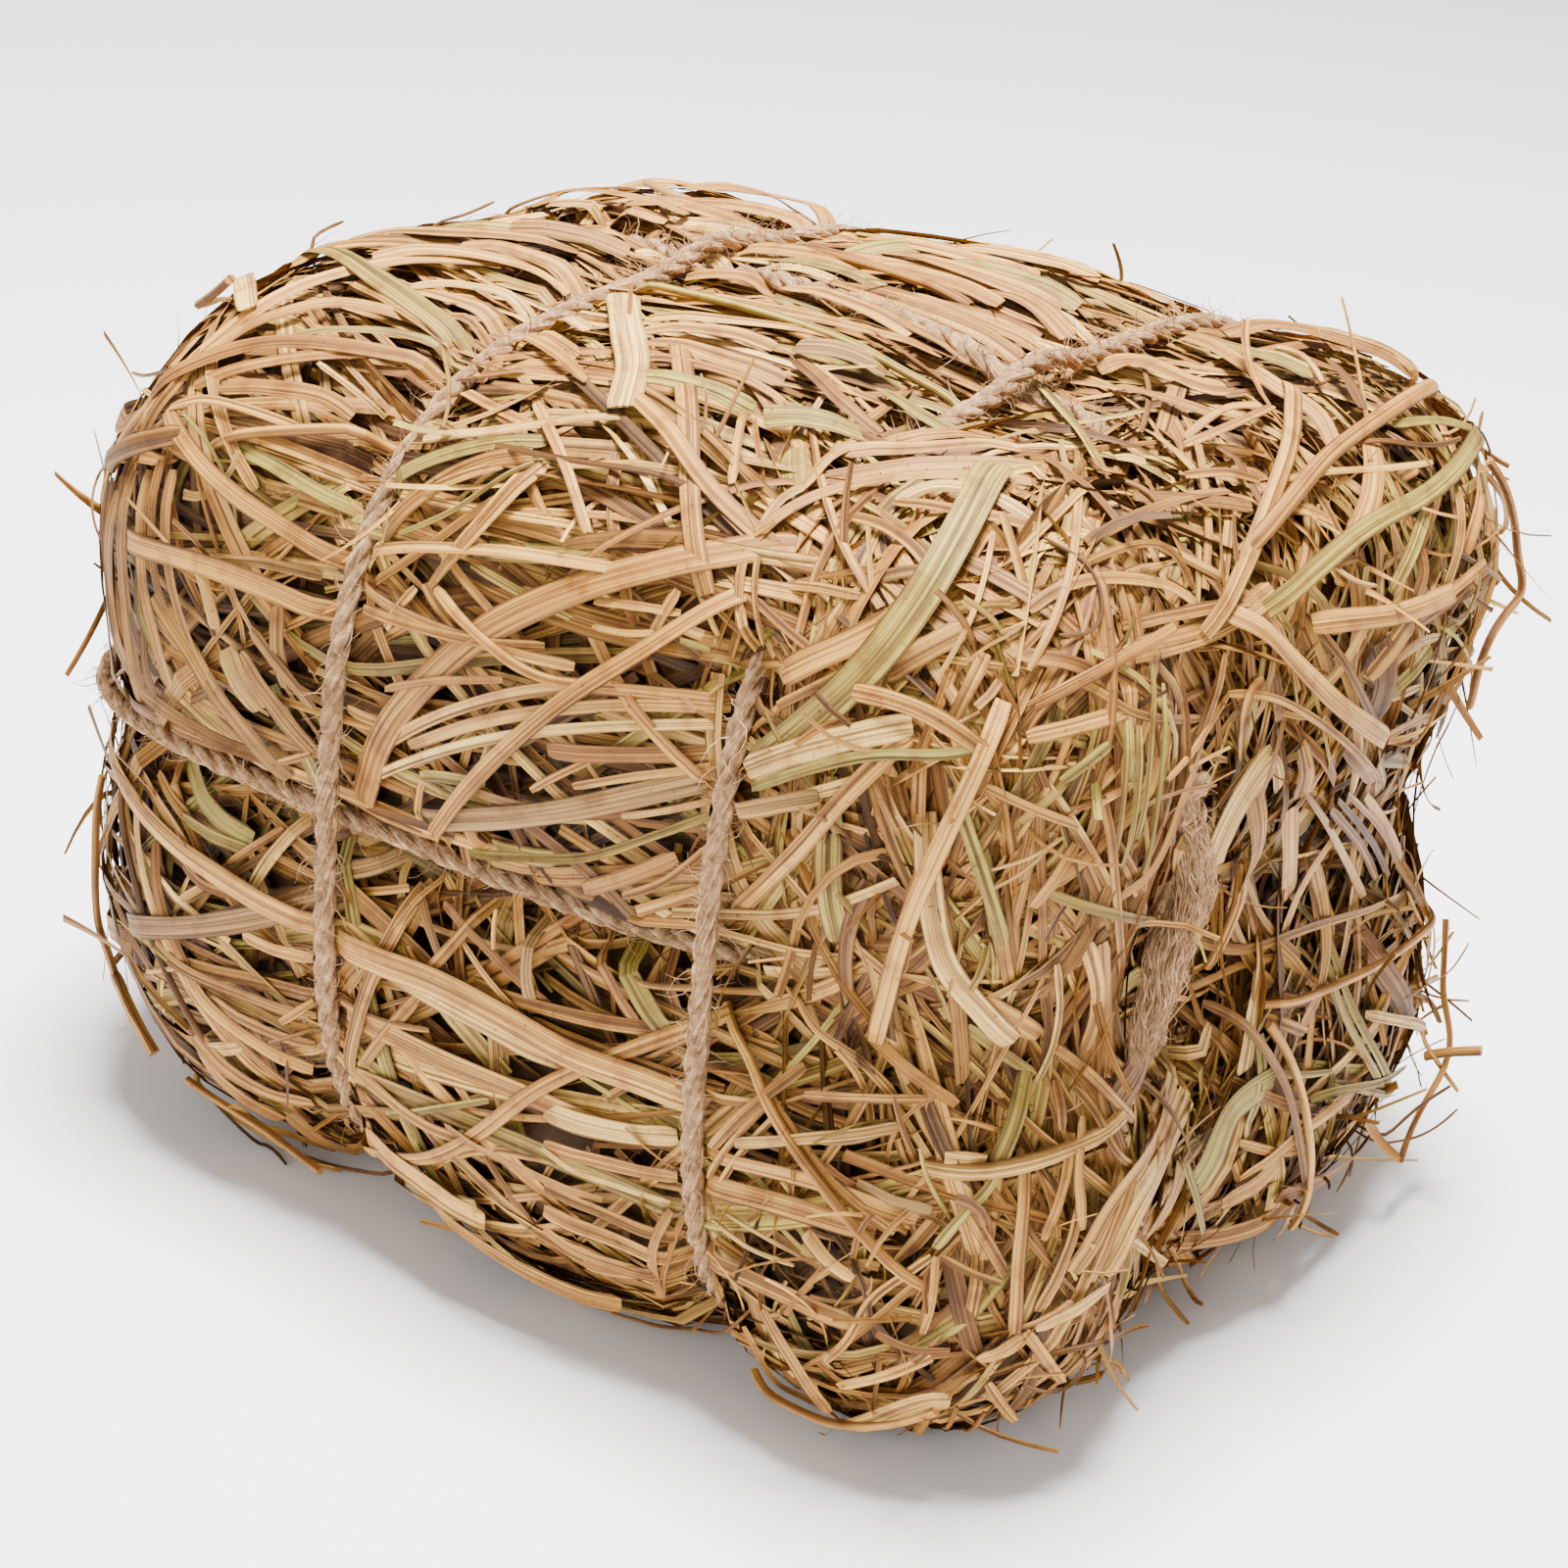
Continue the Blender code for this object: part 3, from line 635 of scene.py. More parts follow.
# Finishes
class Shader(Wiring):
    """The same wiring for a material's nodes."""

    def __init__(self, name):
        self.material = bpy.data.materials.new(name)
        self.material.use_nodes = True
        self.tree = self.material.node_tree
        self.surface = self.tree.nodes["Principled BSDF"]

    def noise(self, vector, scale, detail=2.0, roughness=0.5):
        made = self.node("ShaderNodeTexNoise", Vector=vector, Scale=scale, Detail=detail)
        made.inputs["Roughness"].default_value = roughness
        return made.outputs["Fac"]

    def remap(self, value, low, high, to_low, to_high):
        made = self.tree.nodes.new("ShaderNodeMapRange")
        for n, v in enumerate((value, low, high, to_low, to_high)):
            self.feed(made, n, v)
        return made.outputs[0]

    def palette(self, value, colours):
        made = self.tree.nodes.new("ShaderNodeValToRGB")
        stops = made.color_ramp.elements
        while len(stops) < len(colours):
            stops.new(0.5)
        for stop, (at, colour) in zip(stops, colours):
            stop.position = at
            stop.color = linear(colour)
        self.tree.links.new(value, made.inputs[0])
        return made.outputs[0]

    def mixed(self, mode, amount, first, second):
        made = self.node("ShaderNodeMix", {"data_type": "RGBA", "blend_type": mode})
        self.feed(made, 0, amount)
        self.feed(made, 6, first)
        self.feed(made, 7, second)
        return made.outputs[2]

    def coat(self, colour, roughness, specular=0.5):
        """Gives the surface its colour, roughness and specular level."""
        for label, value in (
            ("Base Color", colour),
            ("Roughness", roughness),
            ("Specular IOR Level", specular),
        ):
            self.feed(self.surface, label, value)
        return self.material

    def bump(self, height, strength, distance):
        made = self.node("ShaderNodeBump", Height=height, Strength=strength, Distance=distance)
        self.tree.links.new(made.outputs[0], self.surface.inputs["Normal"])


def linear(colour):
    """An eye-matched colour, 0 to 255, as linear light."""
    return (*[((v / 255 + 0.055) / 1.055) ** 2.4 for v in colour], 1.0)


def straw_finish(name, colours):
    """Dried grass: long veins, blotches and specks over a colour that each blade holds, with painted
    shade along a fold and at the rims, and the painted light and shade that each blade holds.
    """
    s = Shader(name)
    look = s.node("ShaderNodeAttribute", {"attribute_name": "look"}).outputs["Vector"]
    tone, shade, own = s.node("ShaderNodeSeparateXYZ", Vector=look).outputs
    across = s.node("ShaderNodeAttribute", {"attribute_name": "across"}).outputs["Fac"]
    uv = s.node("ShaderNodeUVMap", {"uv_map": "UVMap"}).outputs[0]
    side, along, _ = s.node("ShaderNodeSeparateXYZ", Vector=uv).outputs
    place = s.node("ShaderNodeTexCoord").outputs["Object"]
    lane = s.math("MULTIPLY", own, 97.0)

    def lengthwise(per_metre_across, per_metre_along, detail, roughness):
        rows = s.node(
            "ShaderNodeCombineXYZ",
            X=s.math("MULTIPLY", side, per_metre_across),
            Y=s.math("MULTIPLY", along, per_metre_along),
            Z=lane,
        )
        return s.noise(rows.outputs[0], 1.0, detail, roughness)

    tinted = s.math("ADD", tone, s.remap(lengthwise(300.0, 30.0, 2.0, 0.5), 0.25, 0.75, -0.13, 0.13))
    colour = s.palette(tinted, colours)
    veins = lengthwise(2300.0, 22.0, 3.0, 0.65)
    lines = lengthwise(5200.0, 40.0, 2.0, 0.5)
    streaks = s.math("ADD", s.math("MULTIPLY", veins, 0.62), s.math("MULTIPLY", lines, 0.38))
    worn = s.palette(streaks, VEIN_COLOURS)
    colour = s.mixed("MULTIPLY", 0.85, colour, worn)

    # Painted shade: a dark line along the blade's fold, a little off its middle
    off_middle = s.math("ABSOLUTE", s.math("SUBTRACT", across, s.remap(own, 0, 1, -0.22, 0.22)))
    crease_shade = s.remap(off_middle, 0.02, 0.07, 0.6, 0.0)
    # Painted shade: each blade darker at its rims, a shadow line where blades touch
    rim_shade = s.remap(s.math("ABSOLUTE", across), 0.40, 0.49, 0.0, 0.75)
    blotch = s.remap(s.noise(place, 300.0, 3.0), 0.50, 0.70, 0.0, 0.6)
    speck = s.remap(s.noise(place, 1700.0, 2.0), 0.66, 0.74, 0.0, 0.6)
    # Multiplied in: painted shade along the fold and at the rims, and brown blotches and specks of the
    # straw's own colour
    stains_and_shade = (
        (crease_shade, (140, 110, 76)),
        (rim_shade, (132, 100, 66)),
        (blotch, (178, 138, 92)),
        (speck, (120, 84, 52)),
    )
    for amount, darkening in stains_and_shade:
        colour = s.mixed("MULTIPLY", amount, colour, linear(darkening))
    # Each blade's shade, multiplied in: painted shade on the deeper layers and the darker sides, painted
    # light on the paler sides, and each blade's own brightness; the darker, the warmer
    painted_shade_and_brightness = s.node(
        "ShaderNodeCombineXYZ",
        X=shade,
        Y=s.math("POWER", shade, 1.08),
        Z=s.math("POWER", shade, 1.16),
    )
    colour = s.mixed("MULTIPLY", 1.0, colour, painted_shade_and_brightness.outputs[0])
    s.bump(streaks, 0.9, 0.00022)
    return s.coat(colour, s.remap(streaks, 0.35, 0.65, 0.72, 0.50), 0.22)


def twine_finish():
    """Brown jute: fibres that follow the plies, in darker and paler patches."""
    s = Shader("jute fibre")
    uv = s.node("ShaderNodeUVMap", {"uv_map": "UVMap"}).outputs[0]
    around, along, _ = s.node("ShaderNodeSeparateXYZ", Vector=uv).outputs
    place = s.node("ShaderNodeTexCoord").outputs["Object"]
    turn = s.math("MULTIPLY", around, 6.2832)
    rows = s.node(
        "ShaderNodeCombineXYZ",
        X=s.math("MULTIPLY", s.math("SINE", turn), 3.2),
        Y=s.math("MULTIPLY", along, 260.0),
        Z=s.math("MULTIPLY", s.math("COSINE", turn), 3.2),
    )
    fibres = s.noise(rows.outputs[0], 1.0, 3.0, 0.65)
    patches = s.noise(place, 900.0, 4.0, 0.7)
    mix = s.math("ADD", s.math("MULTIPLY", fibres, 0.55), s.math("MULTIPLY", patches, 0.45))
    s.bump(fibres, 0.8, 0.0002)
    return s.coat(s.palette(mix, JUTE_COLOURS), 0.85, 0.2)


def shadow_bed_finish():
    """Painted shadow: a dark straw colour that shows through the gaps, where shade falls."""
    s = Shader("painted shadow bed")
    place = s.node("ShaderNodeTexCoord").outputs["Object"]
    return s.coat(s.palette(s.noise(place, 260.0, 3.0), BED_SHADOW_COLOURS), 0.9)


# Colours along each palette, 0 to 255. A blade's tone picks its place in the palette of its slot.
HAY_COLOURS = (
    (0.00, (107, 76, 39)),
    (0.12, (134, 95, 46)),
    (0.26, (165, 117, 55)),
    (0.44, (190, 142, 67)),
    (0.62, (204, 158, 82)),
    (0.78, (219, 181, 103)),
    (0.90, (190, 161, 76)),
    (1.00, (160, 144, 68)),
)
GREEN_COLOURS = (
    (0.00, (184, 154, 74)),
    (0.40, (176, 154, 73)),
    (0.75, (156, 144, 66)),
    (1.00, (142, 137, 63)),
)
GREY_COLOURS = (
    (0.00, (111, 86, 49)),
    (0.50, (150, 116, 68)),
    (1.00, (174, 141, 82)),
)
PALE_COLOURS = (
    (0.00, (200, 157, 82)),
    (0.50, (221, 185, 108)),
    (1.00, (232, 204, 126)),
)

VEIN_COLOURS = (
    (0.37, (78, 50, 28)),
    (0.46, (176, 148, 116)),
    (0.57, (255, 250, 240)),
)
JUTE_COLOURS = (
    (0.34, (66, 44, 26)),
    (0.44, (128, 94, 62)),
    (0.53, (174, 134, 94)),
    (0.65, (226, 190, 144)),
)
# The dark browns of the bed: painted shadow for the gaps between blades
BED_SHADOW_COLOURS = (
    (0.30, (52, 34, 18)),
    (0.70, (112, 80, 46)),
)

FINISHES = {
    "packed_straw": straw_finish("packed straw", HAY_COLOURS),
    "dried_blade": straw_finish("dried blade", HAY_COLOURS),
    "greenish_blade": straw_finish("greenish blade", GREEN_COLOURS),
    "weathered_blade": straw_finish("weathered blade", GREY_COLOURS),
    "pale_blade": straw_finish("pale blade", PALE_COLOURS),
    "jute_twine": twine_finish(),
}
SWEEP = sweep_tree()
LAY = lay_tree()
FUZZ = fuzz_tree()


def belongs(piece, slot, *nodes):
    """Rides the bale and stands for the CAD nodes; the record's slot is not used."""
    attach(piece, BODY)
    if nodes:
        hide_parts(*nodes)


def sweep(name, strands, slot, sides, thickness, cup, nodes=()):
    """Sweeps the strands into one piece: the section's sides, and its thickness and cup as shares of
    the width."""
    sizes = {
        "Section sides": sides,
        "Thickness share": thickness,
        "Cup share": cup,
        "Material": FINISHES[slot],
    }
    belongs(grown(name, strands.mesh(name + "_lines"), SWEEP, sizes), slot, *nodes)


# The dark bed of painted shadow that shows in the gaps, in place of the block
def make_shadow_bed():
    points = [Vector(p) - outward(Vector(p)) * SHADOW_BED_DEPTH for p in BLOCK_POINTS]
    data = bpy.data.meshes.new("painted_shadow_bed")
    data.from_pydata(points, [], BLOCK_FACES.tolist())
    data.materials.append(shadow_bed_finish())
    data.shade_smooth()
    belongs(linked("painted_shadow_bed", data), "packed_straw", "straw_block")


# Twines
MIDDLE_LOOK = (0.5, 1.0, 0.5)


def lay_twine(name, node, points, facing, lay, fibres):
    """A closed twine along the points, in place of a CAD node, with fibres on it."""
    line = Strands()
    line.add(points, facing, TWINE_RADIUS, MIDDLE_LOOK)
    jute = FINISHES["jute_twine"]
    middle_line = line.mesh(name + "_line", closed=True)
    laid = grown("jute_" + name, middle_line, LAY, {"Lay length": lay, "Material": jute})
    belongs(laid, "jute_twine", node)
    fuzz = grown("fuzz_" + name, laid.data.copy(), FUZZ, {"Material": jute, **fibres})
    belongs(fuzz, "jute_twine")


def make_twines():
    for name, (points, length) in TWINES.items():
        facing = [outward(Vector(p)) for p in points]
        lay = length / round(length / TWINE_LAY)
        lay_twine(name, name, points, facing, lay, {"Seed": len(name)})


def make_knot():
    """The knot: a small overhand loop of twine, closed on itself."""
    middle = Vector(KNOT_AT) + BALE_MIDDLE
    points = []
    for n in range(KNOT_POINTS):
        t = 2 * math.pi * n / KNOT_POINTS
        points.append(middle + Vector((
            -math.sin(3 * t) * 0.0009,
            (math.sin(t) + 2 * math.sin(2 * t)) * 0.00075,
            (math.cos(t) - 2 * math.cos(2 * t)) * 0.00090,
        )))
    facing = [(p - middle + Vector((0.0002, 0, 0))).normalized() for p in points]
    lay_twine("knot", "twine_knot", points, facing, KNOT_LAY, {"Fibre length": KNOT_FIBRES})


def spline_through(corners, step):
    """A curve through the given points (Catmull-Rom), in about equal steps."""
    ends = [2 * corners[0] - corners[1], *corners, 2 * corners[-1] - corners[-2]]
    fine = []
    for a, b, c, d in zip(ends, ends[1:], ends[2:], ends[3:]):
        for n in range(12):
            t = n / 12
            bend = (2 * a - 5 * b + 4 * c - d) * t**2 + (3 * b - a - 3 * c + d) * t**3
            fine.append(0.5 * (2 * b + (c - a) * t + bend))
    fine.append(corners[-1])
    lengths = np.cumsum([0.0] + [(b - a).length for a, b in zip(fine, fine[1:])])
    marks = np.linspace(0, lengths[-1], max(2, round(lengths[-1] / step)) + 1)
    table = np.array(fine)
    return [Vector([float(np.interp(m, lengths, table[:, k])) for k in range(3)]) for m in marks]


def make_tail():
    """The frayed end of the twine: a loose brush of jute fibres."""
    rng = np.random.default_rng(71)
    line = [Vector(p) + BALE_MIDDLE for p in (KNOT_AT, *TAIL_ROUTE)]
    spine = spline_through([*line, line[-1] + Vector((0.0003, -0.0012, -0.004))], 1.0 * MM)
    brush = Strands()
    for _ in range(TAIL_FIBRES):
        first = int(rng.integers(0, len(spine) - 9))
        last = min(len(spine), first + int(rng.integers(8, 18)))
        angle, radius = rng.uniform(0, 2 * math.pi), rng.uniform(0.0, 1.0) ** 0.6
        phase, waves, curl = rng.uniform(0, 6.28), rng.uniform(0.4, 1.5), rng.uniform(0.1, 0.9) * MM
        points, facing = [], []
        for n in range(first, last):
            u = n / (len(spine) - 1)
            spread = (0.9 + 1.5 * math.sin(math.pi * min(1.0, u * 0.95))) * MM * radius
            out = outward(spine[n])
            side = Vector((0, 0, 1)).cross(out).normalized()
            aside = math.cos(angle) * spread * 1.3 + math.sin(phase + n * waves) * curl
            above = math.sin(angle) * spread * 0.8 + math.cos(phase + n * waves) * curl * 0.6
            points.append(spine[n] + side * aside + out * above)
            facing.append(out)
        taper = np.linspace(1, 0.4, len(points))
        brush.add(points, facing, rng.uniform(0.06, 0.14) * MM * taper, (0.5, 1.0, rng.uniform()))
    sweep("jute_tail", brush, "jute_twine", 3, 0.8, 0.0, ("twine_tail",))


# Loose blades and stems that the CAD model holds one by one: the longest edge across a blade, and
# where the loose corner starts
RING_REACH = 3.4 * MM
CORNER_FROM = 0.036


def rings_of(node):
    """The middle, thin direction and width of each ring of a CAD blade, in order along it."""
    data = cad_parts[node].data
    points, index = corners_once(data)
    ring = list(range(len(points)))

    def root(n):
        while ring[n] != n:
            n = ring[n]
        return n

    links = set()
    for face in data.polygons:
        corners = [int(index[v]) for v in face.vertices]
        for a, b in zip(corners, corners[1:] + corners[:1]):
            if np.linalg.norm(points[a] - points[b]) < RING_REACH:
                ring[root(a)] = root(b)
            else:
                links.add((a, b))
    joined = {}
    for a, b in links:
        a, b = root(a), root(b)
        if a != b:
            joined.setdefault(a, set()).add(b)
            joined.setdefault(b, set()).add(a)
    ends = [r for r, others in joined.items() if len(others) == 1]
    order = [min(ends, key=lambda r: tuple(points[r]))]
    while len(order) < len(joined):
        ahead = [r for r in joined[order[-1]] if r not in order]
        order.append(ahead[0])
    found = []
    for r in order:
        members = points[[n for n in range(len(points)) if root(n) == r]]
        middle = members.mean(0)
        spread = np.linalg.svd(members - middle)
        size = 2 * np.abs((members - middle) @ spread[2][0]).max()
        found.append((Vector(middle), Vector(spread[2][1]), float(size)))
    return found


def slot_of(node):
    for word, slot in (("green", "greenish_blade"), ("grey", "weathered_blade"), ("pale", "pale_blade")):
        if word in node:
            return slot
    return "dried_blade"


# Blades and stems whose ends stand free
FREE_ENDED = {
    "stem_out_right",
    "blade_hanging_right",
    "stem_left_low",
    "stem_left_top",
    "stem_left_end",
    "blade_pale_curl",
    "blade_pale_folded",
    "stem_end_hanging",
}


def eased(points, passes):
    """Evens out a route's waves and keeps its ends."""
    for _ in range(passes):
        middle = [(a + 2 * b + c) / 4 for a, b, c in zip(points, points[1:], points[2:])]
        points = [points[0], *middle, points[-1]]
    return points


def tucked(points, step, count=4):
    """Carries both ends of a route on, down into the straw."""
    for _ in range(2):
        end, out = points[-1], outward(points[-1])
        along = (end - points[-3]).normalized()
        along = (along - out * along.dot(out)).normalized()
        extra = [end + along * step * k - out * 0.13 * MM * k * k for k in range(1, count + 1)]
        points = [*points, *extra][::-1]
    return points


def above_straw(point, height):
    """Lifts a point out of the straw where it lies deeper than a height over it."""
    out = outward(point)
    lift = height - (point - STRAW.find_nearest(point)[0]).dot(out)
    return point + out * max(0.0, lift)


# How far over the straw the named blades lie, and how much farther at the loose corner
NAMED_OVER_STRAW = 1.3 * MM
MORE_IN_CORNER = 1.0 * MM
# How much broader a curled blade is than the plain strip of its solid, and how far apart the points
# of its route are
BLADE_BREADTH = 1.2
LOOSE_STEP = 1.4 * MM
# Blades that cross over other named blades, and by how much
BLADES_OVER_OTHERS = {
    "blade_corner_long": 0.9 * MM,
    "blade_corner_pale": 0.6 * MM,
    "blade_front_diagonal": 0.5 * MM,
    "blade_split_pale": 0.5 * MM,
}
# The stem that hangs from the end of a strand
HANGS_FROM = {"stem_left_low": "strand_left_long"}


def make_loose(node, rng):
    """A detailed blade or stem in the place of its CAD solid."""
    rings = rings_of(node)
    if node in HANGS_FROM:
        held = rings_of(HANGS_FROM[node])
        lowest = min((held[0], held[-1]), key=lambda ring: ring[0].z)
        if rings[0][0].z < rings[-1][0].z:
            rings = rings[::-1]
        rings = [lowest, *rings]
    is_stem = node.startswith(("stem", "strand"))
    width = (1.0 if is_stem else BLADE_BREADTH) * max(size for _, _, size in rings)
    points = eased(spline_through([middle for middle, _, _ in rings], LOOSE_STEP), 10)
    over = NAMED_OVER_STRAW + BLADES_OVER_OTHERS.get(node, 0.0)
    points = [above_straw(p, over + (MORE_IN_CORNER if p.x > CORNER_FROM else 0.0)) for p in points]
    points = eased(points, 3)
    if not (node.startswith("strand") or node in FREE_ENDED):
        points = tucked(points, LOOSE_STEP)
    if not node.startswith("strand"):
        points = eased([pressed_under_twines(p, outward(p)) for p in points], 1)
    facing = [outward(p) for p in points]
    length = sum((b - a).length for a, b in zip(points, points[1:]))
    u = np.linspace(0, 1, len(points))
    near_end = np.minimum(u, 1 - u) * length
    taper = np.ones(len(u)) if is_stem else np.clip(0.85 + near_end / (3.5 * MM), 0, 1)
    wave = 1 + 0.04 * np.sin(u * rng.uniform(9, 20) + rng.uniform(0, 6))
    line = Strands()
    look = (rng.uniform(0.35, 0.62), rng.uniform(0.95, 1.08), rng.uniform())
    line.add(points, facing, width * taper * wave, look)
    name, slot = "loose_" + node, slot_of(node)
    if is_stem:
        sweep(name, line, slot, 12, 0.75, 0.0, (node,))
    else:
        sweep(name, line, slot, 8, 0.09, rng.uniform(-0.25, 0.30), (node,))


# Packed straw, layer on layer
def zone_of(point):
    """Which side of the bale a point belongs to."""
    out = outward(point)
    if out.x > 0.62:
        return "cut_end"
    if out.x < -0.62:
        return "folded_end"
    if out.z > 0.6:
        return "top"
    if out.z < -0.6:
        return "underside"
    if point.x > CORNER_FROM:
        return "loose_corner" if out.y < 0 else "back_corner"
    return "front" if out.y < 0 else "back"


def turned(heading, axis, angle):
    return heading * math.cos(angle) + axis.cross(heading) * math.sin(angle)


def walk(start, heading, length, step, turn, wander, rng, kink=0.0):
    """Lays a route on the straw's surface that keeps its heading but for a slow turn, small wanders
    and one kink."""
    count = max(3, round(length / step))
    kink_at = int(rng.integers(1, count)) if kink else -1
    place = start
    out = outward(place)
    heading = (heading - out * heading.dot(out)).normalized()
    spots, outs = [place], [out]
    for n in range(count):
        angle = turn * step + rng.normal(0, wander)
        if n == kink_at:
            angle += kink
        heading = turned(heading, out, angle)
        found = STRAW.find_nearest(place + heading * step)[0]
        gone = found - place
        out = outward(found)
        gone -= out * gone.dot(out)
        if gone.length > step * 0.1:
            heading = gone.normalized()
        place = found
        spots.append(place)
        outs.append(out)
    return spots, outs


def lay_on(spots, outs, base, sway, tuck, rng, ease=0):
    """Lifts a route to its own height in the pile, spans what dips below it, tucks in its ends and
    presses it under the twines."""
    count = len(spots)
    phase, waves = rng.uniform(0, 6.28), rng.uniform(2, 6)
    length = sum((b - a).length for a, b in zip(spots, spots[1:]))
    heights = []
    for n in range(count):
        u = n / (count - 1)
        near = min(u, 1 - u) * length
        tucked_in = tuck * (1 - ramp(near, 0, 9 * MM)) ** 1.5
        heights.append(base + sway * math.sin(phase + waves * u) - tucked_in)
    points = [spot + out * height for spot, out, height in zip(spots, outs, heights)]
    points = eased(points, 2 + ease)
    if ease:
        for n, point in enumerate(points):
            ground = STRAW.find_nearest(point)[0]
            lift = (heights[n] - 0.35 * MM) - (point - ground).dot(outs[n])
            if lift > 0:
                points[n] = point + outs[n] * lift
    return [pressed_under_twines(p, out) for p, out in zip(points, outs)]


def facing_of(points, outs, tilt, twist):
    """The way each point of a blade faces: outward, tilted, and turning along the blade."""
    found = []
    count = len(points)
    for n, out in enumerate(outs):
        along = points[min(n + 1, count - 1)] - points[max(n - 1, 0)]
        along = along.normalized() if along.length > 1e-7 else Vector((1, 0, 0))
        found.append(turned(out, along, tilt + twist * (n / (count - 1) - 0.5)))
    return found


STRAW_CORNERS = STRAW_POINTS[BLOCK_FACES]
FIRST_EDGES = STRAW_CORNERS[:, 1] - STRAW_CORNERS[:, 0]
SECOND_EDGES = STRAW_CORNERS[:, 2] - STRAW_CORNERS[:, 0]
FACE_AREAS = np.linalg.norm(np.cross(FIRST_EDGES, SECOND_EDGES), axis=1) / 2
FACE_ZONES = np.array([zone_of(Vector(c.mean(0))) for c in STRAW_CORNERS])

# For each side of the bale: the axis that its straw follows, the spread of its headings in
# degrees, the share that lies across, lengths in millimetres and the usual width in millimetres
ZONES = {
    "top": ((1, 0, 0), 13, 0.14, (26, 70), 1.05),
    "front": ((1, 0, 0), 23, 0.28, (22, 64), 1.3),
    "back": ((1, 0, 0), 21, 0.28, (26, 70), 1.35),
    "underside": ((1, 0, 0), 20, 0.25, (34, 80), 1.8),
    "folded_end": ((0, 0, 1), 18, 0.20, (26, 60), 1.25),
    "loose_corner": ((1, 0, 0), 50, 0.50, (12, 40), 1.15),
    "back_corner": ((1, 0, 0), 45, 0.45, (14, 46), 1.5),
    "cut_end": ((0, 0, 1), 46, 0.40, (12, 38), 1.1),
}
ZONE_FACES = {zone: np.flatnonzero(FACE_ZONES == zone) for zone in ZONES}
ZONE_AREA = {zone: float(FACE_AREAS[faces].sum()) for zone, faces in ZONE_FACES.items()}
ZONE_SUMS = {
    zone: np.cumsum(FACE_AREAS[faces]) / FACE_AREAS[faces].sum() for zone, faces in ZONE_FACES.items()
}

# Sides painted paler than the rest where the light falls on them, or darker where they turn from it,
# as painted light and shade, and the power that their painted shade in depth is raised to
ZONE_SHADE = {
    "top": (1.08, 0.45),
    "cut_end": (0.90, 1.15),
    "loose_corner": (0.97, 1.1),
    "folded_end": (0.76, 1.1),
    "underside": (0.92, 1.0),
}


def random_spot(zone, rng):
    """A point of the straw's surface in a zone, evenly spread over its faces."""
    picks = ZONE_FACES[zone]
    face = STRAW_CORNERS[picks[int(np.searchsorted(ZONE_SUMS[zone], rng.uniform()))]]
    a, b = rng.uniform(), rng.uniform()
    if a + b > 1:
        a, b = 1 - a, 1 - b
    return Vector(face[0] + a * (face[1] - face[0]) + b * (face[2] - face[0]))


def tone_of(rng):
    """Which of the hay's colours a blade has: mostly tan and gold, some cream, grey-brown and green."""
    pick = rng.uniform()
    if pick < 0.14:
        return rng.uniform(0.0, 0.2)
    if pick < 0.72:
        return rng.uniform(0.24, 0.62)
    if pick < 0.83:
        return rng.uniform(0.62, 0.80)
    return rng.uniform(0.84, 1.0)


def blade_from(
    strands, start, angle, axis, length, width, step, heights, tuck, shade, rng, ease, roll=0.22
):
    """One random blade: it starts at a spot, at an angle from the side's axis."""
    out = outward(start)
    main = Vector(axis)
    main = (main - out * main.dot(out)).normalized()
    heading = turned(main, out, angle) * (1 if rng.uniform() < 0.5 else -1)
    kink = rng.choice((-1, 1)) * rng.uniform(0.35, 1.1) if rng.uniform() < 0.10 else 0.0
    spots, outs = walk(start, heading, length, step, rng.normal(0, 5.0), 0.03, rng, kink)
    base = rng.uniform(*heights) * MM
    points = lay_on(spots, outs, base, rng.uniform(0.1, 0.5) * MM, tuck, rng, ease)
    twist = rng.normal(0, 0.35) if rng.uniform() < 0.85 else rng.normal(0, 2.2)
    facing = facing_of(points, outs, rng.normal(0, roll), twist)
    u = np.linspace(0, 1, len(points))
    taper = np.ones(len(u))
    if rng.uniform() < 0.4:
        taper = np.clip((1.08 - u) * rng.uniform(1.2, 3.0), 0.2, 1)
    light = shade * math.exp(rng.normal(-0.01, 0.15))
    strands.add(points, facing, width * taper, (tone_of(rng), light, rng.uniform()))


def blade_width(usual, rng):
    drawn = usual * math.exp(rng.normal(0, 0.42))
    return min(WIDEST_RANDOM_BLADE, max(NARROWEST_RANDOM_BLADE, drawn)) * MM


def fill_zone(strands, zone, cover, heights, shade, step, rng, ease=0, tuck=(0.4, 1.8)):
    """Lays enough blades on a side to cover it so many times over, between two heights."""
    axis, spread, crossing, lengths, usual = ZONES[zone]
    strength, evenness = ZONE_SHADE.get(zone, (1.0, 1.0))
    shade = strength * shade ** evenness
    covered, target = 0.0, cover * ZONE_AREA[zone]
    while covered < target:
        start = random_spot(zone, rng)
        across = rng.uniform() < crossing
        angle = math.radians(rng.uniform(-90, 90) if across else rng.normal(0, spread))
        length = rng.uniform(*lengths) * MM
        width = blade_width(usual, rng)
        depth = rng.uniform(*tuck) * MM
        blade_from(strands, start, angle, axis, length, width, step, heights, depth, shade, rng, ease)
        covered += length * width


# How far apart the points of an outer blade are, on the sides in the photograph and on the others
STEP_IN_VIEW = 4.2 * MM
STEP_BEHIND = 5 * MM


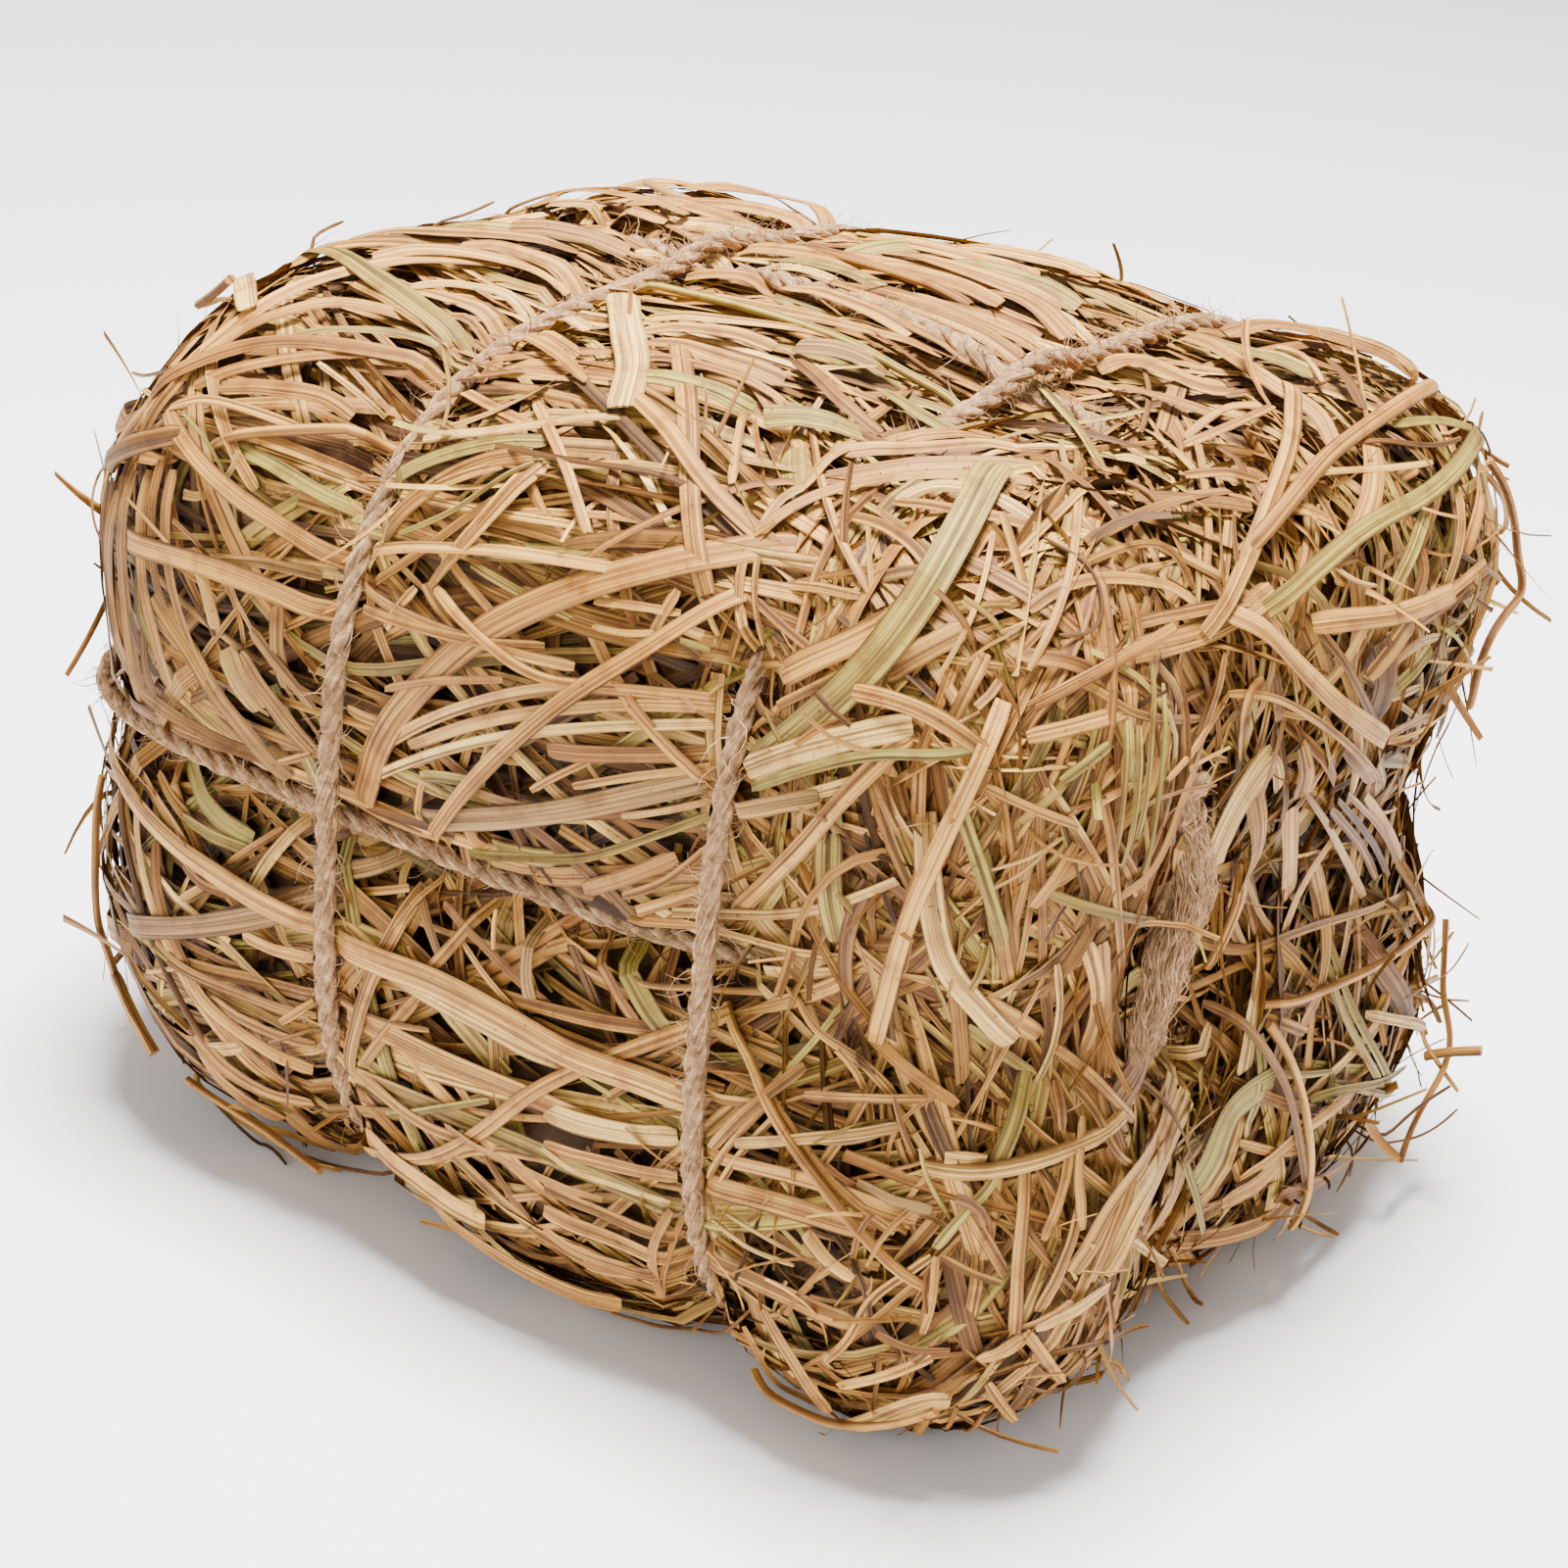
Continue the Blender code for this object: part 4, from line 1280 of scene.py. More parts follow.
def make_packed():
    """Four layers on every side: how often each covers the side, its heights in millimetres and its
    painted shade, darker the deeper the layer lies."""
    rng = np.random.default_rng(2024)
    for zone in ZONES:
        is_seen = zone in ("top", "front", "cut_end", "loose_corner")
        is_loose = zone in ("cut_end", "loose_corner")
        depth = 0.55 if zone == "top" else 1.0
        deep_cover = 1.4 if zone in ("back", "folded_end", "top") else 1.0
        inner = Strands()
        fill_zone(inner, zone, deep_cover, (-3.4 * depth, -2.1 * depth), 0.24, 7 * MM, rng)
        fill_zone(inner, zone, 1.1, (-2.1 * depth, -0.8 * depth), 0.48, 5.5 * MM, rng)
        sweep(zone + "_inner_straw", inner, "packed_straw", 5, 0.14, 0.1)
        outer = Strands()
        step = STEP_IN_VIEW if is_seen else STEP_BEHIND
        fill_zone(outer, zone, 0.75 if is_loose else 0.9, (-0.9, 0.2), 0.84, step, rng, 3)
        fill_zone(outer, zone, 0.45 if is_loose else 0.65, (-0.2, 0.7), 1.02, step, rng, 5, (1.0, 2.4))
        sweep(zone + "_outer_straw", outer, "packed_straw", 6, 0.12, 0.14)


# Tips that stand out of the straw: for each side, how many, their lengths in millimetres and the
# greatest share of its length that a tip rises
SPRIGS = {
    "top": (70, (6, 16), 0.20),
    "front": (70, (6, 16), 0.25),
    "back": (70, (6, 16), 0.25),
    "underside": (30, (6, 14), 0.10),
    "folded_end": (80, (6, 16), 0.28),
    "loose_corner": (120, (5, 15), 0.45),
    "back_corner": (70, (5, 15), 0.40),
    "cut_end": (260, (5, 15), 0.50),
}


# The points along a tip, and how deep its foot lies, in millimetres
SPRIG_POINTS = 7
SPRIG_FOOT = 0.9


def make_sprigs():
    rng = np.random.default_rng(415)
    for zone, (count, lengths, most) in SPRIGS.items():
        tips = Strands()
        for _ in range(count):
            root = random_spot(zone, rng)
            out = outward(root)
            level = out.cross(Vector((0.3, 0.2, 1.0))).normalized()
            side = turned(level, out, rng.uniform(0, 2 * math.pi))
            length, rise, bend = rng.uniform(*lengths) * MM, rng.uniform(0.08, most), rng.normal(0, 0.5)
            points = []
            for n in range(SPRIG_POINTS):
                u = n / (SPRIG_POINTS - 1)
                heading = turned(side, out, bend * u)
                height = rise * length * u**1.5 - SPRIG_FOOT * MM
                points.append(root + heading * length * u * (1 - 0.3 * rise) + out * height)
            points = [pressed_under_twines(p, out) for p in points]
            outs = [out] * SPRIG_POINTS
            facing = facing_of(points, outs, rng.normal(0, 0.5), rng.normal(0, 0.8))
            taper = np.linspace(1, rng.uniform(0.3, 0.9), SPRIG_POINTS)
            look = (tone_of(rng), math.exp(rng.normal(0, 0.12)), rng.uniform())
            tips.add(points, facing, rng.uniform(0.35, 1.3) * MM * taper, look)
        sweep("sprigs_" + zone, tips, "packed_straw", 6, 0.14, 0.2)


# Straw that lies in a jumble over the twines near the cut end: the box of the photograph's pixels,
# how many blades, the spread of their headings in degrees, their lengths and their usual width in
# millimetres. All lie between the same heights, with the same shade and the same spread of tilts.
JUMBLE_HEIGHTS = (0.0, 1.5)
JUMBLE_SHADE = 0.95
JUMBLE_ROLL = 0.55
JUMBLES = {
    "over_right_girth": ((790, 400, 1060, 670), 130, 50, (9, 34), 1.0),
    "top_of_cut_end": ((1040, 400, 1260, 650), 120, 60, (9, 32), 1.0),
    "corner": ((800, 560, 1160, 860), 170, 50, (12, 36), 1.2),
    "over_level_twine": ((770, 840, 1150, 1060), 130, 55, (9, 34), 1.15),
    "beside_cleft": ((1030, 640, 1180, 960), 90, 30, (10, 36), 1.1),
    "right_of_cleft": ((1235, 640, 1400, 1180), 110, 45, (10, 32), 1.05),
    "below_cleft": ((950, 1030, 1240, 1300), 120, 32, (10, 36), 1.2),
}


def make_jumbles():
    rng = np.random.default_rng(903)
    for name, (box, count, spread, lengths, usual) in JUMBLES.items():
        heap = Strands()
        for _ in range(count):
            spot = seen_at(rng.uniform(box[0], box[2]), rng.uniform(box[1], box[3]))
            if spot is None:
                continue
            angle = math.radians(rng.normal(0, spread))
            length, width = rng.uniform(*lengths) * MM, blade_width(usual, rng)
            tuck = rng.uniform(0.5, 3.0) * MM
            shape = (length, width, 3 * MM, JUMBLE_HEIGHTS, tuck)
            blade_from(heap, spot, angle, (0, 0, 1), *shape, JUMBLE_SHADE, rng, 3, JUMBLE_ROLL)
        sweep("jumble_" + name, heap, "packed_straw", 6, 0.11, 0.2)


# Blades that the photograph shows one by one, region by region: the colour, how many pixels
# wide, and the pixels that the blade passes through. A later one lies over an earlier one.
SEEN = {
    "top_left": [
        ("tan", 8, (120, 455), (150, 425), (185, 392), (250, 340), (300, 322), (350, 314), (440, 335)),
        ("gold", 8, (145, 450), (165, 420), (195, 385), (222, 352), (262, 335)),
        ("tan", 9, (135, 440), (170, 405), (235, 345), (300, 302), (385, 278), (440, 272), (560, 280)),
        ("tan", 9, (200, 395), (260, 378), (330, 368), (370, 368), (412, 372), (455, 395)),
        ("tan", 8, (360, 292), (400, 318), (440, 345), (462, 355)),
        ("tan", 9, (400, 298), (470, 318), (540, 345), (590, 368)),
        ("green", 6, (300, 345), (370, 345), (430, 352), (480, 375)),
        ("tan", 8, (300, 275), (340, 262), (390, 258), (450, 262)),
        ("tan", 8, (330, 252), (380, 246), (450, 248), (520, 252), (590, 262)),
        ("green", 6, (445, 240), (500, 242), (560, 250), (620, 262)),
        ("tan", 7, (510, 215), (560, 215), (620, 222), (680, 232)),
        ("tan", 7, (380, 270), (450, 268), (520, 280), (580, 300)),
        ("pale", 6, (420, 300), (480, 306), (550, 322), (600, 345)),
        ("gold", 7, (455, 330), (510, 345), (570, 372), (600, 395)),
        ("pale", 7, (328, 376), (352, 396), (372, 410), (393, 426)),
        ("tan", 16, (230, 400), (290, 405), (350, 415), (365, 430)),
        ("tan", 10, (180, 420), (215, 412), (262, 425), (310, 440)),
    ],
    "top_right": [
        ("tan", 7, (620, 196), (700, 192), (780, 198), (850, 215), (900, 238)),
        ("tan", 7, (650, 205), (720, 222), (780, 245)),
        ("tan", 8, (640, 210), (700, 215), (760, 218), (820, 235), (870, 250)),
        ("pale", 9, (690, 230), (740, 242), (800, 250)),
        ("tan", 6, (600, 240), (660, 248), (700, 262)),
        ("pale", 6, (650, 262), (720, 268), (790, 276), (850, 292)),
        ("tan", 7, (700, 285), (760, 292), (820, 300), (880, 315), (940, 330), (1000, 348)),
        ("tan", 7, (690, 310), (750, 320), (830, 335), (900, 352), (960, 368)),
        ("tan", 6, (660, 330), (740, 338), (820, 348), (900, 368)),
        ("tan", 7, (650, 345), (720, 348), (790, 360)),
        ("gold", 6, (640, 372), (700, 380), (760, 398), (800, 415)),
        ("tan", 8, (830, 268), (900, 280), (960, 290), (1020, 302), (1080, 312)),
        ("green", 12, (860, 272), (920, 264), (975, 264)),
        ("green", 10, (960, 280), (1010, 290), (1060, 305), (1100, 320)),
        ("tan", 7, (960, 262), (1020, 270), (1090, 285), (1120, 292)),
        ("gold", 12, (1000, 305), (1040, 315), (1070, 335), (1090, 352)),
        ("pale", 8, (1060, 320), (1090, 340), (1115, 360)),
        ("pale", 8, (800, 288), (820, 282), (838, 288)),
        ("tan", 6, (880, 255), (950, 268), (1010, 284), (1060, 290)),
        ("brown", 5, (790, 262), (860, 278), (930, 300), (990, 322)),
    ],
    "top_of_front": [
        ("green", 16, (240, 455), (290, 480), (330, 505), (375, 525)),
        ("tan", 14, (240, 440), (300, 460), (350, 480), (385, 490)),
        ("tan", 13, (216, 358), (222, 400), (236, 446), (262, 500)),
        ("pale", 12, (210, 570), (270, 572), (330, 588)),
        ("green", 14, (385, 505), (430, 478), (490, 460), (560, 452)),
        ("pale", 9, (433, 450), (500, 447), (570, 437), (640, 428)),
        ("gold", 15, (390, 548), (430, 512), (485, 480), (545, 465)),
        ("tan", 10, (400, 520), (450, 500), (520, 475)),
        ("green", 5, (410, 545), (460, 530), (520, 490), (560, 470)),
        ("tan", 14, (350, 570), (410, 560), (470, 562), (530, 566), (600, 578), (660, 588)),
        ("tan", 12, (440, 600), (480, 560), (530, 505), (560, 475)),
        ("tan", 10, (455, 580), (510, 520), (540, 480)),
        ("tan", 12, (548, 415), (570, 455), (590, 500), (602, 545)),
        ("brown", 6, (490, 455), (550, 470), (620, 482), (680, 492), (755, 525)),
        ("tan", 12, (370, 595), (410, 620), (470, 645), (530, 665), (590, 680)),
        ("tan", 12, (375, 620), (440, 640), (500, 655), (560, 660)),
        ("tan", 12, (660, 355), (700, 365), (740, 380), (800, 395)),
        ("grey", 14, (812, 360), (860, 372), (905, 386)),
        ("green", 14, (640, 390), (710, 404), (770, 425)),
        ("green", 13, (780, 432), (830, 440), (885, 453)),
        ("brown", 14, (812, 375), (840, 408), (870, 435), (898, 450)),
        ("green", 12, (898, 405), (920, 425), (945, 445), (980, 452)),
        ("tan", 11, (450, 600), (500, 650), (560, 690), (640, 700)),
        ("tan", 10, (430, 600), (400, 640)),
        ("tan", 8, (610, 640), (650, 650), (700, 645)),
        ("tan", 10, (612, 615), (660, 622), (700, 628)),
        ("tan", 11, (697, 605), (678, 645), (665, 660)),
        ("green", 8, (700, 655), (730, 665)),
        ("tan", 10, (755, 600), (770, 650), (775, 690)),
    ],
    "left_bundle": [
        ("brown", 6, (142, 452), (132, 500), (130, 560), (142, 640), (160, 690)),
        ("tan", 8, (155, 480), (150, 540), (152, 600), (165, 650), (175, 700)),
        ("brown", 7, (115, 490), (118, 560), (125, 620), (135, 680)),
        ("tan", 9, (140, 480), (132, 540), (135, 600), (142, 660), (150, 720)),
        ("green", 8, (148, 560), (150, 620), (160, 660)),
        ("tan", 7, (125, 500), (120, 560), (124, 630), (138, 690)),
        ("gold", 8, (168, 470), (162, 530), (166, 590), (182, 640)),
        ("tan", 9, (180, 480), (176, 540), (184, 600), (204, 660), (222, 700)),
        ("brown", 6, (150, 640), (160, 690), (172, 730)),
        ("tan", 14, (162, 605), (190, 640), (215, 680), (232, 720)),
        ("pale", 20, (235, 660), (252, 690), (270, 722)),
        ("tan", 14, (288, 618), (292, 660), (298, 700)),
        ("tan", 10, (200, 560), (220, 590), (225, 640)),
        ("tan", 15, (250, 665), (290, 715), (325, 765)),
        ("tan", 10, (262, 640), (300, 680), (325, 720)),
        ("tan", 14, (212, 680), (260, 740), (300, 792)),
        ("tan", 12, (152, 704), (200, 732), (228, 748), (280, 772)),
        ("brown", 8, (120, 700), (150, 715), (170, 735)),
        ("stem", 18, (108, 475), (150, 458), (192, 445)),
    ],
    "left_low": [
        ("brown", 5, (150, 756), (132, 790), (130, 830), (142, 890), (162, 960), (202, 1040), (262, 1122)),
        ("tan", 8, (148, 790), (146, 850), (160, 920), (190, 990), (230, 1050), (290, 1110)),
        ("brown", 7, (160, 860), (172, 930), (205, 1000), (250, 1060), (320, 1120)),
        ("green", 15, (168, 760), (204, 800), (236, 840), (260, 856)),
        ("tan", 8, (164, 788), (180, 812), (196, 836)),
        ("tan", 12, (150, 790), (184, 840), (205, 880), (222, 905)),
        ("green", 12, (188, 832), (220, 848), (260, 868)),
        ("gold", 9, (292, 844), (260, 864), (236, 880)),
        ("pale", 13, (328, 820), (300, 852), (276, 880), (260, 904)),
        ("brown", 9, (190, 880), (210, 900), (240, 912)),
        ("grey", 22, (156, 940), (190, 943), (220, 940), (280, 920), (324, 908)),
        ("pale", 10, (188, 916), (220, 898)),
        ("tan", 10, (156, 952), (192, 984), (260, 1012), (324, 1036)),
        ("tan", 12, (252, 952), (284, 964), (324, 976)),
        ("gold", 10, (196, 996), (232, 1032), (280, 1064), (324, 1088)),
        ("tan", 10, (220, 1016), (268, 1040), (324, 1064)),
        ("tan", 9, (204, 1052), (260, 1096), (324, 1120)),
        ("tan", 8, (208, 1064), (228, 1088), (292, 1136)),
        ("pale", 13, (216, 1064), (236, 1065), (252, 1064)),
        ("brown", 5, (276, 1060), (300, 1053), (324, 1048)),
        ("tan", 10, (292, 1040), (308, 1030), (324, 1020)),
        ("tan", 8, (240, 1120), (290, 1150), (340, 1180)),
        ("brown", 7, (300, 1130), (350, 1160), (400, 1196)),
        ("tan", 9, (288, 776), (310, 770), (324, 766)),
    ],
    "front_middle": [
        ("tan", 22, (520, 630), (580, 608), (660, 588), (752, 566)),
        ("brown", 18, (560, 765), (650, 768), (735, 768)),
        ("brown", 10, (470, 800), (520, 815), (580, 828), (640, 830)),
        ("tan", 15, (370, 775), (430, 738), (500, 712), (580, 700), (660, 705), (745, 715)),
        ("tan", 14, (420, 760), (490, 735), (570, 722), (650, 718), (742, 722)),
        ("pale", 12, (365, 800), (430, 772), (500, 752), (570, 742), (660, 738), (742, 738)),
        ("green", 12, (432, 790), (465, 788), (498, 800)),
        ("gold", 9, (545, 805), (580, 785), (605, 775)),
        ("grey", 20, (348, 888), (410, 875), (452, 850)),
        ("green", 10, (480, 868), (545, 870), (605, 872), (665, 852), (728, 830)),
        ("brown", 18, (600, 905), (650, 890), (695, 872)),
        ("gold", 10, (640, 912), (690, 895), (730, 860)),
        ("tan", 10, (590, 800), (650, 788), (735, 780)),
        ("tan", 8, (640, 830), (690, 822), (740, 812)),
        ("brown", 8, (380, 820), (430, 832), (470, 850)),
        ("tan", 11, (362, 720), (400, 735)),
        ("brown", 9, (400, 700), (450, 690), (520, 692)),
    ],
    "front_low": [
        ("tan", 14, (480, 1000), (540, 1020), (620, 1040), (700, 1050)),
        ("tan", 10, (545, 1040), (600, 1060), (680, 1090), (740, 1110)),
        ("pale", 25, (348, 944), (404, 984), (460, 1016), (520, 1048), (580, 1080)),
        ("tan", 20, (356, 1032), (412, 1056), (460, 1080), (540, 1112), (620, 1148)),
        ("green", 8, (356, 1056), (380, 1080), (396, 1100)),
        ("green", 8, (396, 1136), (444, 1128), (500, 1122)),
        ("tan", 8, (348, 1076), (380, 1096), (420, 1132), (480, 1164)),
        ("tan", 13, (360, 1102), (390, 1065), (428, 1016)),
        ("gold", 6, (350, 1020), (400, 1040), (440, 1050)),
        ("tan", 8, (410, 950), (440, 1000)),
        ("brown", 9, (430, 905), (452, 960), (462, 1000)),
        ("tan", 9, (475, 960), (510, 1000), (540, 1040)),
        ("gold", 8, (456, 920), (484, 944), (524, 984), (564, 1024)),
        ("tan", 13, (430, 1002), (470, 960), (515, 905)),
        ("grey", 13, (552, 928), (544, 984), (548, 1032)),
        ("brown", 10, (592, 935), (625, 985), (655, 1045)),
        ("green", 16, (628, 950), (655, 1000), (690, 1060)),
        ("tan", 7, (632, 975), (655, 1000), (720, 1003), (790, 1010)),
        ("brown", 9, (660, 940), (700, 970), (745, 985)),
        ("tan", 6, (360, 1010), (400, 960), (440, 905), (470, 880)),
        ("pale", 22, (560, 1130), (628, 1148), (696, 1157)),
        ("tan", 14, (560, 1166), (605, 1175), (696, 1198)),
        ("tan", 9, (560, 1207), (605, 1221), (696, 1261)),
        ("tan", 10, (560, 1230), (628, 1252), (696, 1284), (741, 1320)),
        ("gold", 11, (601, 1284), (673, 1289), (741, 1307)),
        ("tan", 8, (560, 1248), (605, 1270), (696, 1298)),
        ("tan", 12, (380, 1152), (440, 1196), (500, 1240)),
        ("tan", 8, (460, 1144), (524, 1176), (620, 1220)),
        ("green", 10, (420, 1200), (492, 1224)),
        ("pale", 5, (560, 1168), (600, 1190), (650, 1205), (690, 1222)),
        ("tan", 10, (691, 1230), (673, 1261), (680, 1316)),
        ("tan", 7, (700, 1230), (687, 1275), (682, 1316)),
        ("tan", 9, (440, 1210), (500, 1256), (560, 1290), (640, 1322)),
    ],
    "below_corner": [
        ("brown", 12, (850, 1112), (914, 1116)),
        ("grey", 14, (805, 1143), (850, 1157), (914, 1143)),
        ("tan", 20, (719, 1202), (764, 1211), (832, 1230), (895, 1252)),
        ("gold", 14, (723, 1171), (778, 1184), (850, 1202), (936, 1239)),
        ("grey", 12, (877, 1202), (950, 1230)),
        ("tan", 8, (723, 1207), (750, 1166), (791, 1121)),
        ("tan", 8, (736, 1214), (764, 1172), (806, 1126)),
        ("gold", 11, (782, 1094), (814, 1139), (850, 1193), (914, 1252)),
        ("tan", 14, (696, 1257), (764, 1289), (823, 1316), (873, 1343)),
        ("pale", 4, (735, 1240), (770, 1262), (815, 1285)),
        ("pale", 4, (745, 1232), (785, 1250), (830, 1280)),
        ("tan", 16, (827, 1252), (855, 1284), (873, 1298)),
        ("tan", 10, (846, 1379), (877, 1347), (886, 1316), (950, 1275)),
        ("tan", 9, (954, 1275), (950, 1325), (941, 1352)),
        ("tan", 8, (959, 1275), (1018, 1302)),
        ("tan", 15, (982, 1221), (1004, 1257), (1022, 1293)),
        ("green", 12, (954, 1266), (977, 1230), (1009, 1198), (1022, 1171)),
        ("tan", 14, (1031, 1352), (1031, 1298), (1036, 1239), (1041, 1184)),
        ("tan", 13, (1054, 1329), (1081, 1261), (1095, 1216)),
        ("green", 18, (1013, 1180), (1027, 1139), (1041, 1085)),
        ("tan", 9, (1059, 1257), (1075, 1200), (1086, 1148)),
        ("brown", 7, (896, 1350), (930, 1362), (968, 1366)),
        ("brown", 6, (905, 1385), (935, 1375), (960, 1352)),
        ("tan", 12, (995, 1375), (1041, 1352)),
        ("pale", 11, (1050, 1343), (1090, 1320), (1122, 1302)),
        ("tan", 13, (1041, 1347), (1059, 1370), (1077, 1397)),
        ("tan", 10, (860, 1400), (900, 1385), (950, 1372)),
        ("tan", 10, (787, 1325), (814, 1361), (850, 1425)),
        ("tan", 12, (1004, 1397), (1031, 1434)),
        ("pale", 18, (835, 1436), (860, 1440), (905, 1422), (945, 1406), (968, 1414)),
        ("pale", 16, (963, 1171), (1003, 1172)),
    ],
    "top_front": [
        ("tan", 9, (800, 283), (860, 303), (920, 322), (985, 345), (1040, 372)),
        ("pale", 8, (830, 300), (890, 322), (950, 345), (1010, 372)),
        ("gold", 8, (860, 298), (930, 318), (1000, 335), (1060, 352)),
        ("tan", 7, (880, 325), (940, 352), (1000, 385)),
        ("tan", 8, (905, 308), (965, 328), (1020, 352), (1070, 372)),
        ("green", 7, (780, 272), (850, 288), (900, 302)),
        ("tan", 9, (800, 300), (870, 325), (930, 350)),
        ("tan", 10, (690, 262), (750, 268), (810, 272), (880, 285)),
        ("pale", 8, (720, 275), (780, 282), (850, 296)),
        ("tan", 9, (900, 270), (960, 285), (1020, 305), (1080, 328)),
        ("gold", 9, (880, 285), (950, 300), (1020, 322)),
        ("tan", 10, (470, 262), (520, 272), (570, 290), (600, 303)),
        ("tan", 8, (520, 245), (580, 256), (640, 270)),
        ("pale", 7, (560, 222), (620, 232), (680, 245)),
        ("tan", 7, (540, 205), (600, 212), (660, 222), (700, 232)),
        ("tan", 7, (700, 205), (760, 212), (820, 226), (850, 236)),
    ],
    "corner_front": [
        ("green", 13, (782, 797), (850, 777), (900, 766), (960, 768), (1000, 762)),
        ("pale", 28, (778, 780), (850, 758), (905, 745), (935, 740)),
        ("tan", 20, (880, 708), (930, 720), (970, 740), (1005, 767)),
        ("pale", 20, (745, 822), (800, 812), (850, 806)),
    ],
    "corner": [
        ("brown", 16, (888, 895), (870, 945), (868, 1015)),
        ("tan", 12, (805, 600), (850, 608), (880, 612)),
        ("tan", 12, (868, 532), (905, 545), (940, 570), (955, 590)),
        ("grey", 12, (895, 595), (930, 590), (955, 585)),
        ("tan", 9, (762, 570), (800, 535), (850, 512), (920, 500), (1000, 498), (1050, 500)),
        ("pale", 9, (780, 545), (797, 520), (825, 502)),
        ("tan", 10, (875, 460), (850, 478), (822, 505)),
        ("tan", 11, (760, 428), (757, 460), (750, 500)),
        ("tan", 9, (905, 462), (960, 460), (1010, 455)),
        ("tan", 10, (860, 470), (920, 475), (980, 470), (1040, 468)),
        ("pale", 11, (918, 520), (950, 508), (1000, 515), (1055, 540)),
        ("tan", 10, (915, 520), (960, 530), (1020, 540), (1055, 545)),
        ("tan", 9, (768, 560), (762, 600), (765, 650), (775, 700)),
        ("tan", 7, (780, 560), (778, 620), (785, 660)),
        ("tan", 30, (805, 690), (850, 672), (895, 652), (935, 628)),
        ("tan", 26, (905, 690), (945, 668), (985, 645)),
        ("tan", 14, (820, 690), (860, 668), (905, 640), (948, 600)),
        ("tan", 10, (800, 720), (840, 705), (880, 680)),
        ("green", 26, (852, 845), (855, 900), (862, 955)),
        ("green", 14, (855, 790), (860, 845)),
        ("green", 16, (972, 800), (990, 850), (1008, 905), (1022, 958)),
        ("tan", 22, (978, 1000), (1015, 1020), (1055, 1050)),
        ("green", 14, (985, 1040), (1020, 1065), (1050, 1090)),
        ("tan", 12, (1062, 1057), (1095, 1079), (1124, 1115), (1146, 1137)),
        ("tan", 16, (1005, 670), (985, 710), (968, 745)),
        ("tan", 18, (1045, 752), (1085, 742), (1140, 727)),
        ("gold", 11, (1005, 800), (1050, 820), (1095, 838)),
        ("pale", 4, (1000, 905), (1040, 880), (1075, 850)),
        ("pale", 4, (1010, 880), (1060, 860), (1080, 848)),
        ("gold", 4, (925, 935), (950, 930), (970, 900)),
        ("gold", 4, (930, 930), (935, 960), (925, 985)),
        ("tan", 12, (1092, 855), (1070, 885), (1050, 918)),
        ("tan", 10, (822, 1010), (848, 1048), (885, 1068), (915, 1110)),
        ("tan", 14, (890, 1045), (930, 1080), (975, 1118)),
        ("gold", 11, (830, 1110), (890, 1108), (945, 1112)),
        ("tan", 13, (735, 1165), (775, 1125), (830, 1080)),
        ("pale", 12, (760, 1160), (840, 1150), (920, 1140)),
        ("tan", 10, (700, 1100), (740, 1110), (790, 1120)),
        ("pale", 7, (1072, 975), (1070, 1030), (1052, 1095)),
        ("green", 11, (1065, 903), (1120, 920), (1186, 938)),
        ("green", 12, (1077, 794), (1103, 772), (1125, 757)),
    ],
    "cut_end_top": [
        ("tan", 12, (1248, 348), (1300, 345), (1356, 356), (1404, 371), (1441, 389)),
        ("green", 10, (1248, 363), (1281, 374), (1337, 389)),
        ("tan", 8, (1200, 348), (1248, 374), (1307, 415), (1337, 430), (1356, 463)),
        ("brown", 8, (1352, 374), (1374, 408), (1385, 423)),
        ("pale", 4, (1300, 363), (1315, 367), (1333, 382), (1345, 398)),
        ("tan", 11, (1120, 383), (1151, 380), (1188, 393), (1218, 411), (1248, 404)),
        ("green", 9, (1015, 405), (1045, 395), (1065, 415), (1090, 445), (1120, 485)),
        ("brown", 12, (1151, 515), (1207, 523), (1270, 523)),
        ("brown", 13, (1248, 508), (1200, 519), (1151, 538), (1103, 560)),
        ("tan", 8, (1203, 493), (1248, 493), (1278, 497)),
        ("tan", 10, (1203, 463), (1248, 449), (1293, 423)),
        ("tan", 8, (1203, 456), (1241, 430), (1281, 423)),
        ("brown", 6, (1166, 388), (1172, 420), (1160, 452)),
        ("tan", 6, (1140, 405), (1180, 425), (1230, 432)),
        ("pale", 8, (1133, 478), (1150, 478), (1163, 482)),
        ("brown", 4, (1140, 501), (1166, 515), (1181, 538)),
        ("tan", 20, (1388, 452), (1388, 485), (1380, 530), (1368, 556)),
        ("gold", 12, (1300, 523), (1348, 538)),
        ("green", 9, (1411, 441), (1449, 439), (1497, 447)),
        ("brown", 5, (1359, 463), (1397, 460), (1449, 467), (1478, 454)),
        ("grey", 6, (1404, 449), (1426, 467), (1449, 486)),
        ("tan", 7, (1290, 500), (1350, 492), (1410, 488), (1450, 478)),
        ("brown", 8, (1497, 478), (1493, 508), (1486, 541), (1482, 567)),
        ("tan", 8, (1475, 508), (1473, 541), (1463, 582), (1458, 608)),
        ("gold", 11, (1449, 616), (1478, 590), (1501, 575)),
        ("pale", 5, (1345, 582), (1363, 605), (1389, 601)),
        ("green", 14, (1440, 530), (1420, 565), (1404, 608)),
        ("brown", 10, (1300, 600), (1330, 585), (1370, 575)),
        ("brown", 9, (1430, 560), (1436, 590), (1428, 612)),
    ],
    "cut_end_middle": [
        ("tan", 28, (1150, 668), (1200, 655), (1250, 632), (1292, 604)),
        ("brown", 14, (1400, 655), (1402, 690), (1395, 730)),
        ("tan", 14, (1389, 690), (1411, 653), (1434, 634)),
        ("tan", 10, (1397, 690), (1430, 653), (1460, 649)),
        ("green", 10, (1410, 705), (1430, 680), (1452, 660)),
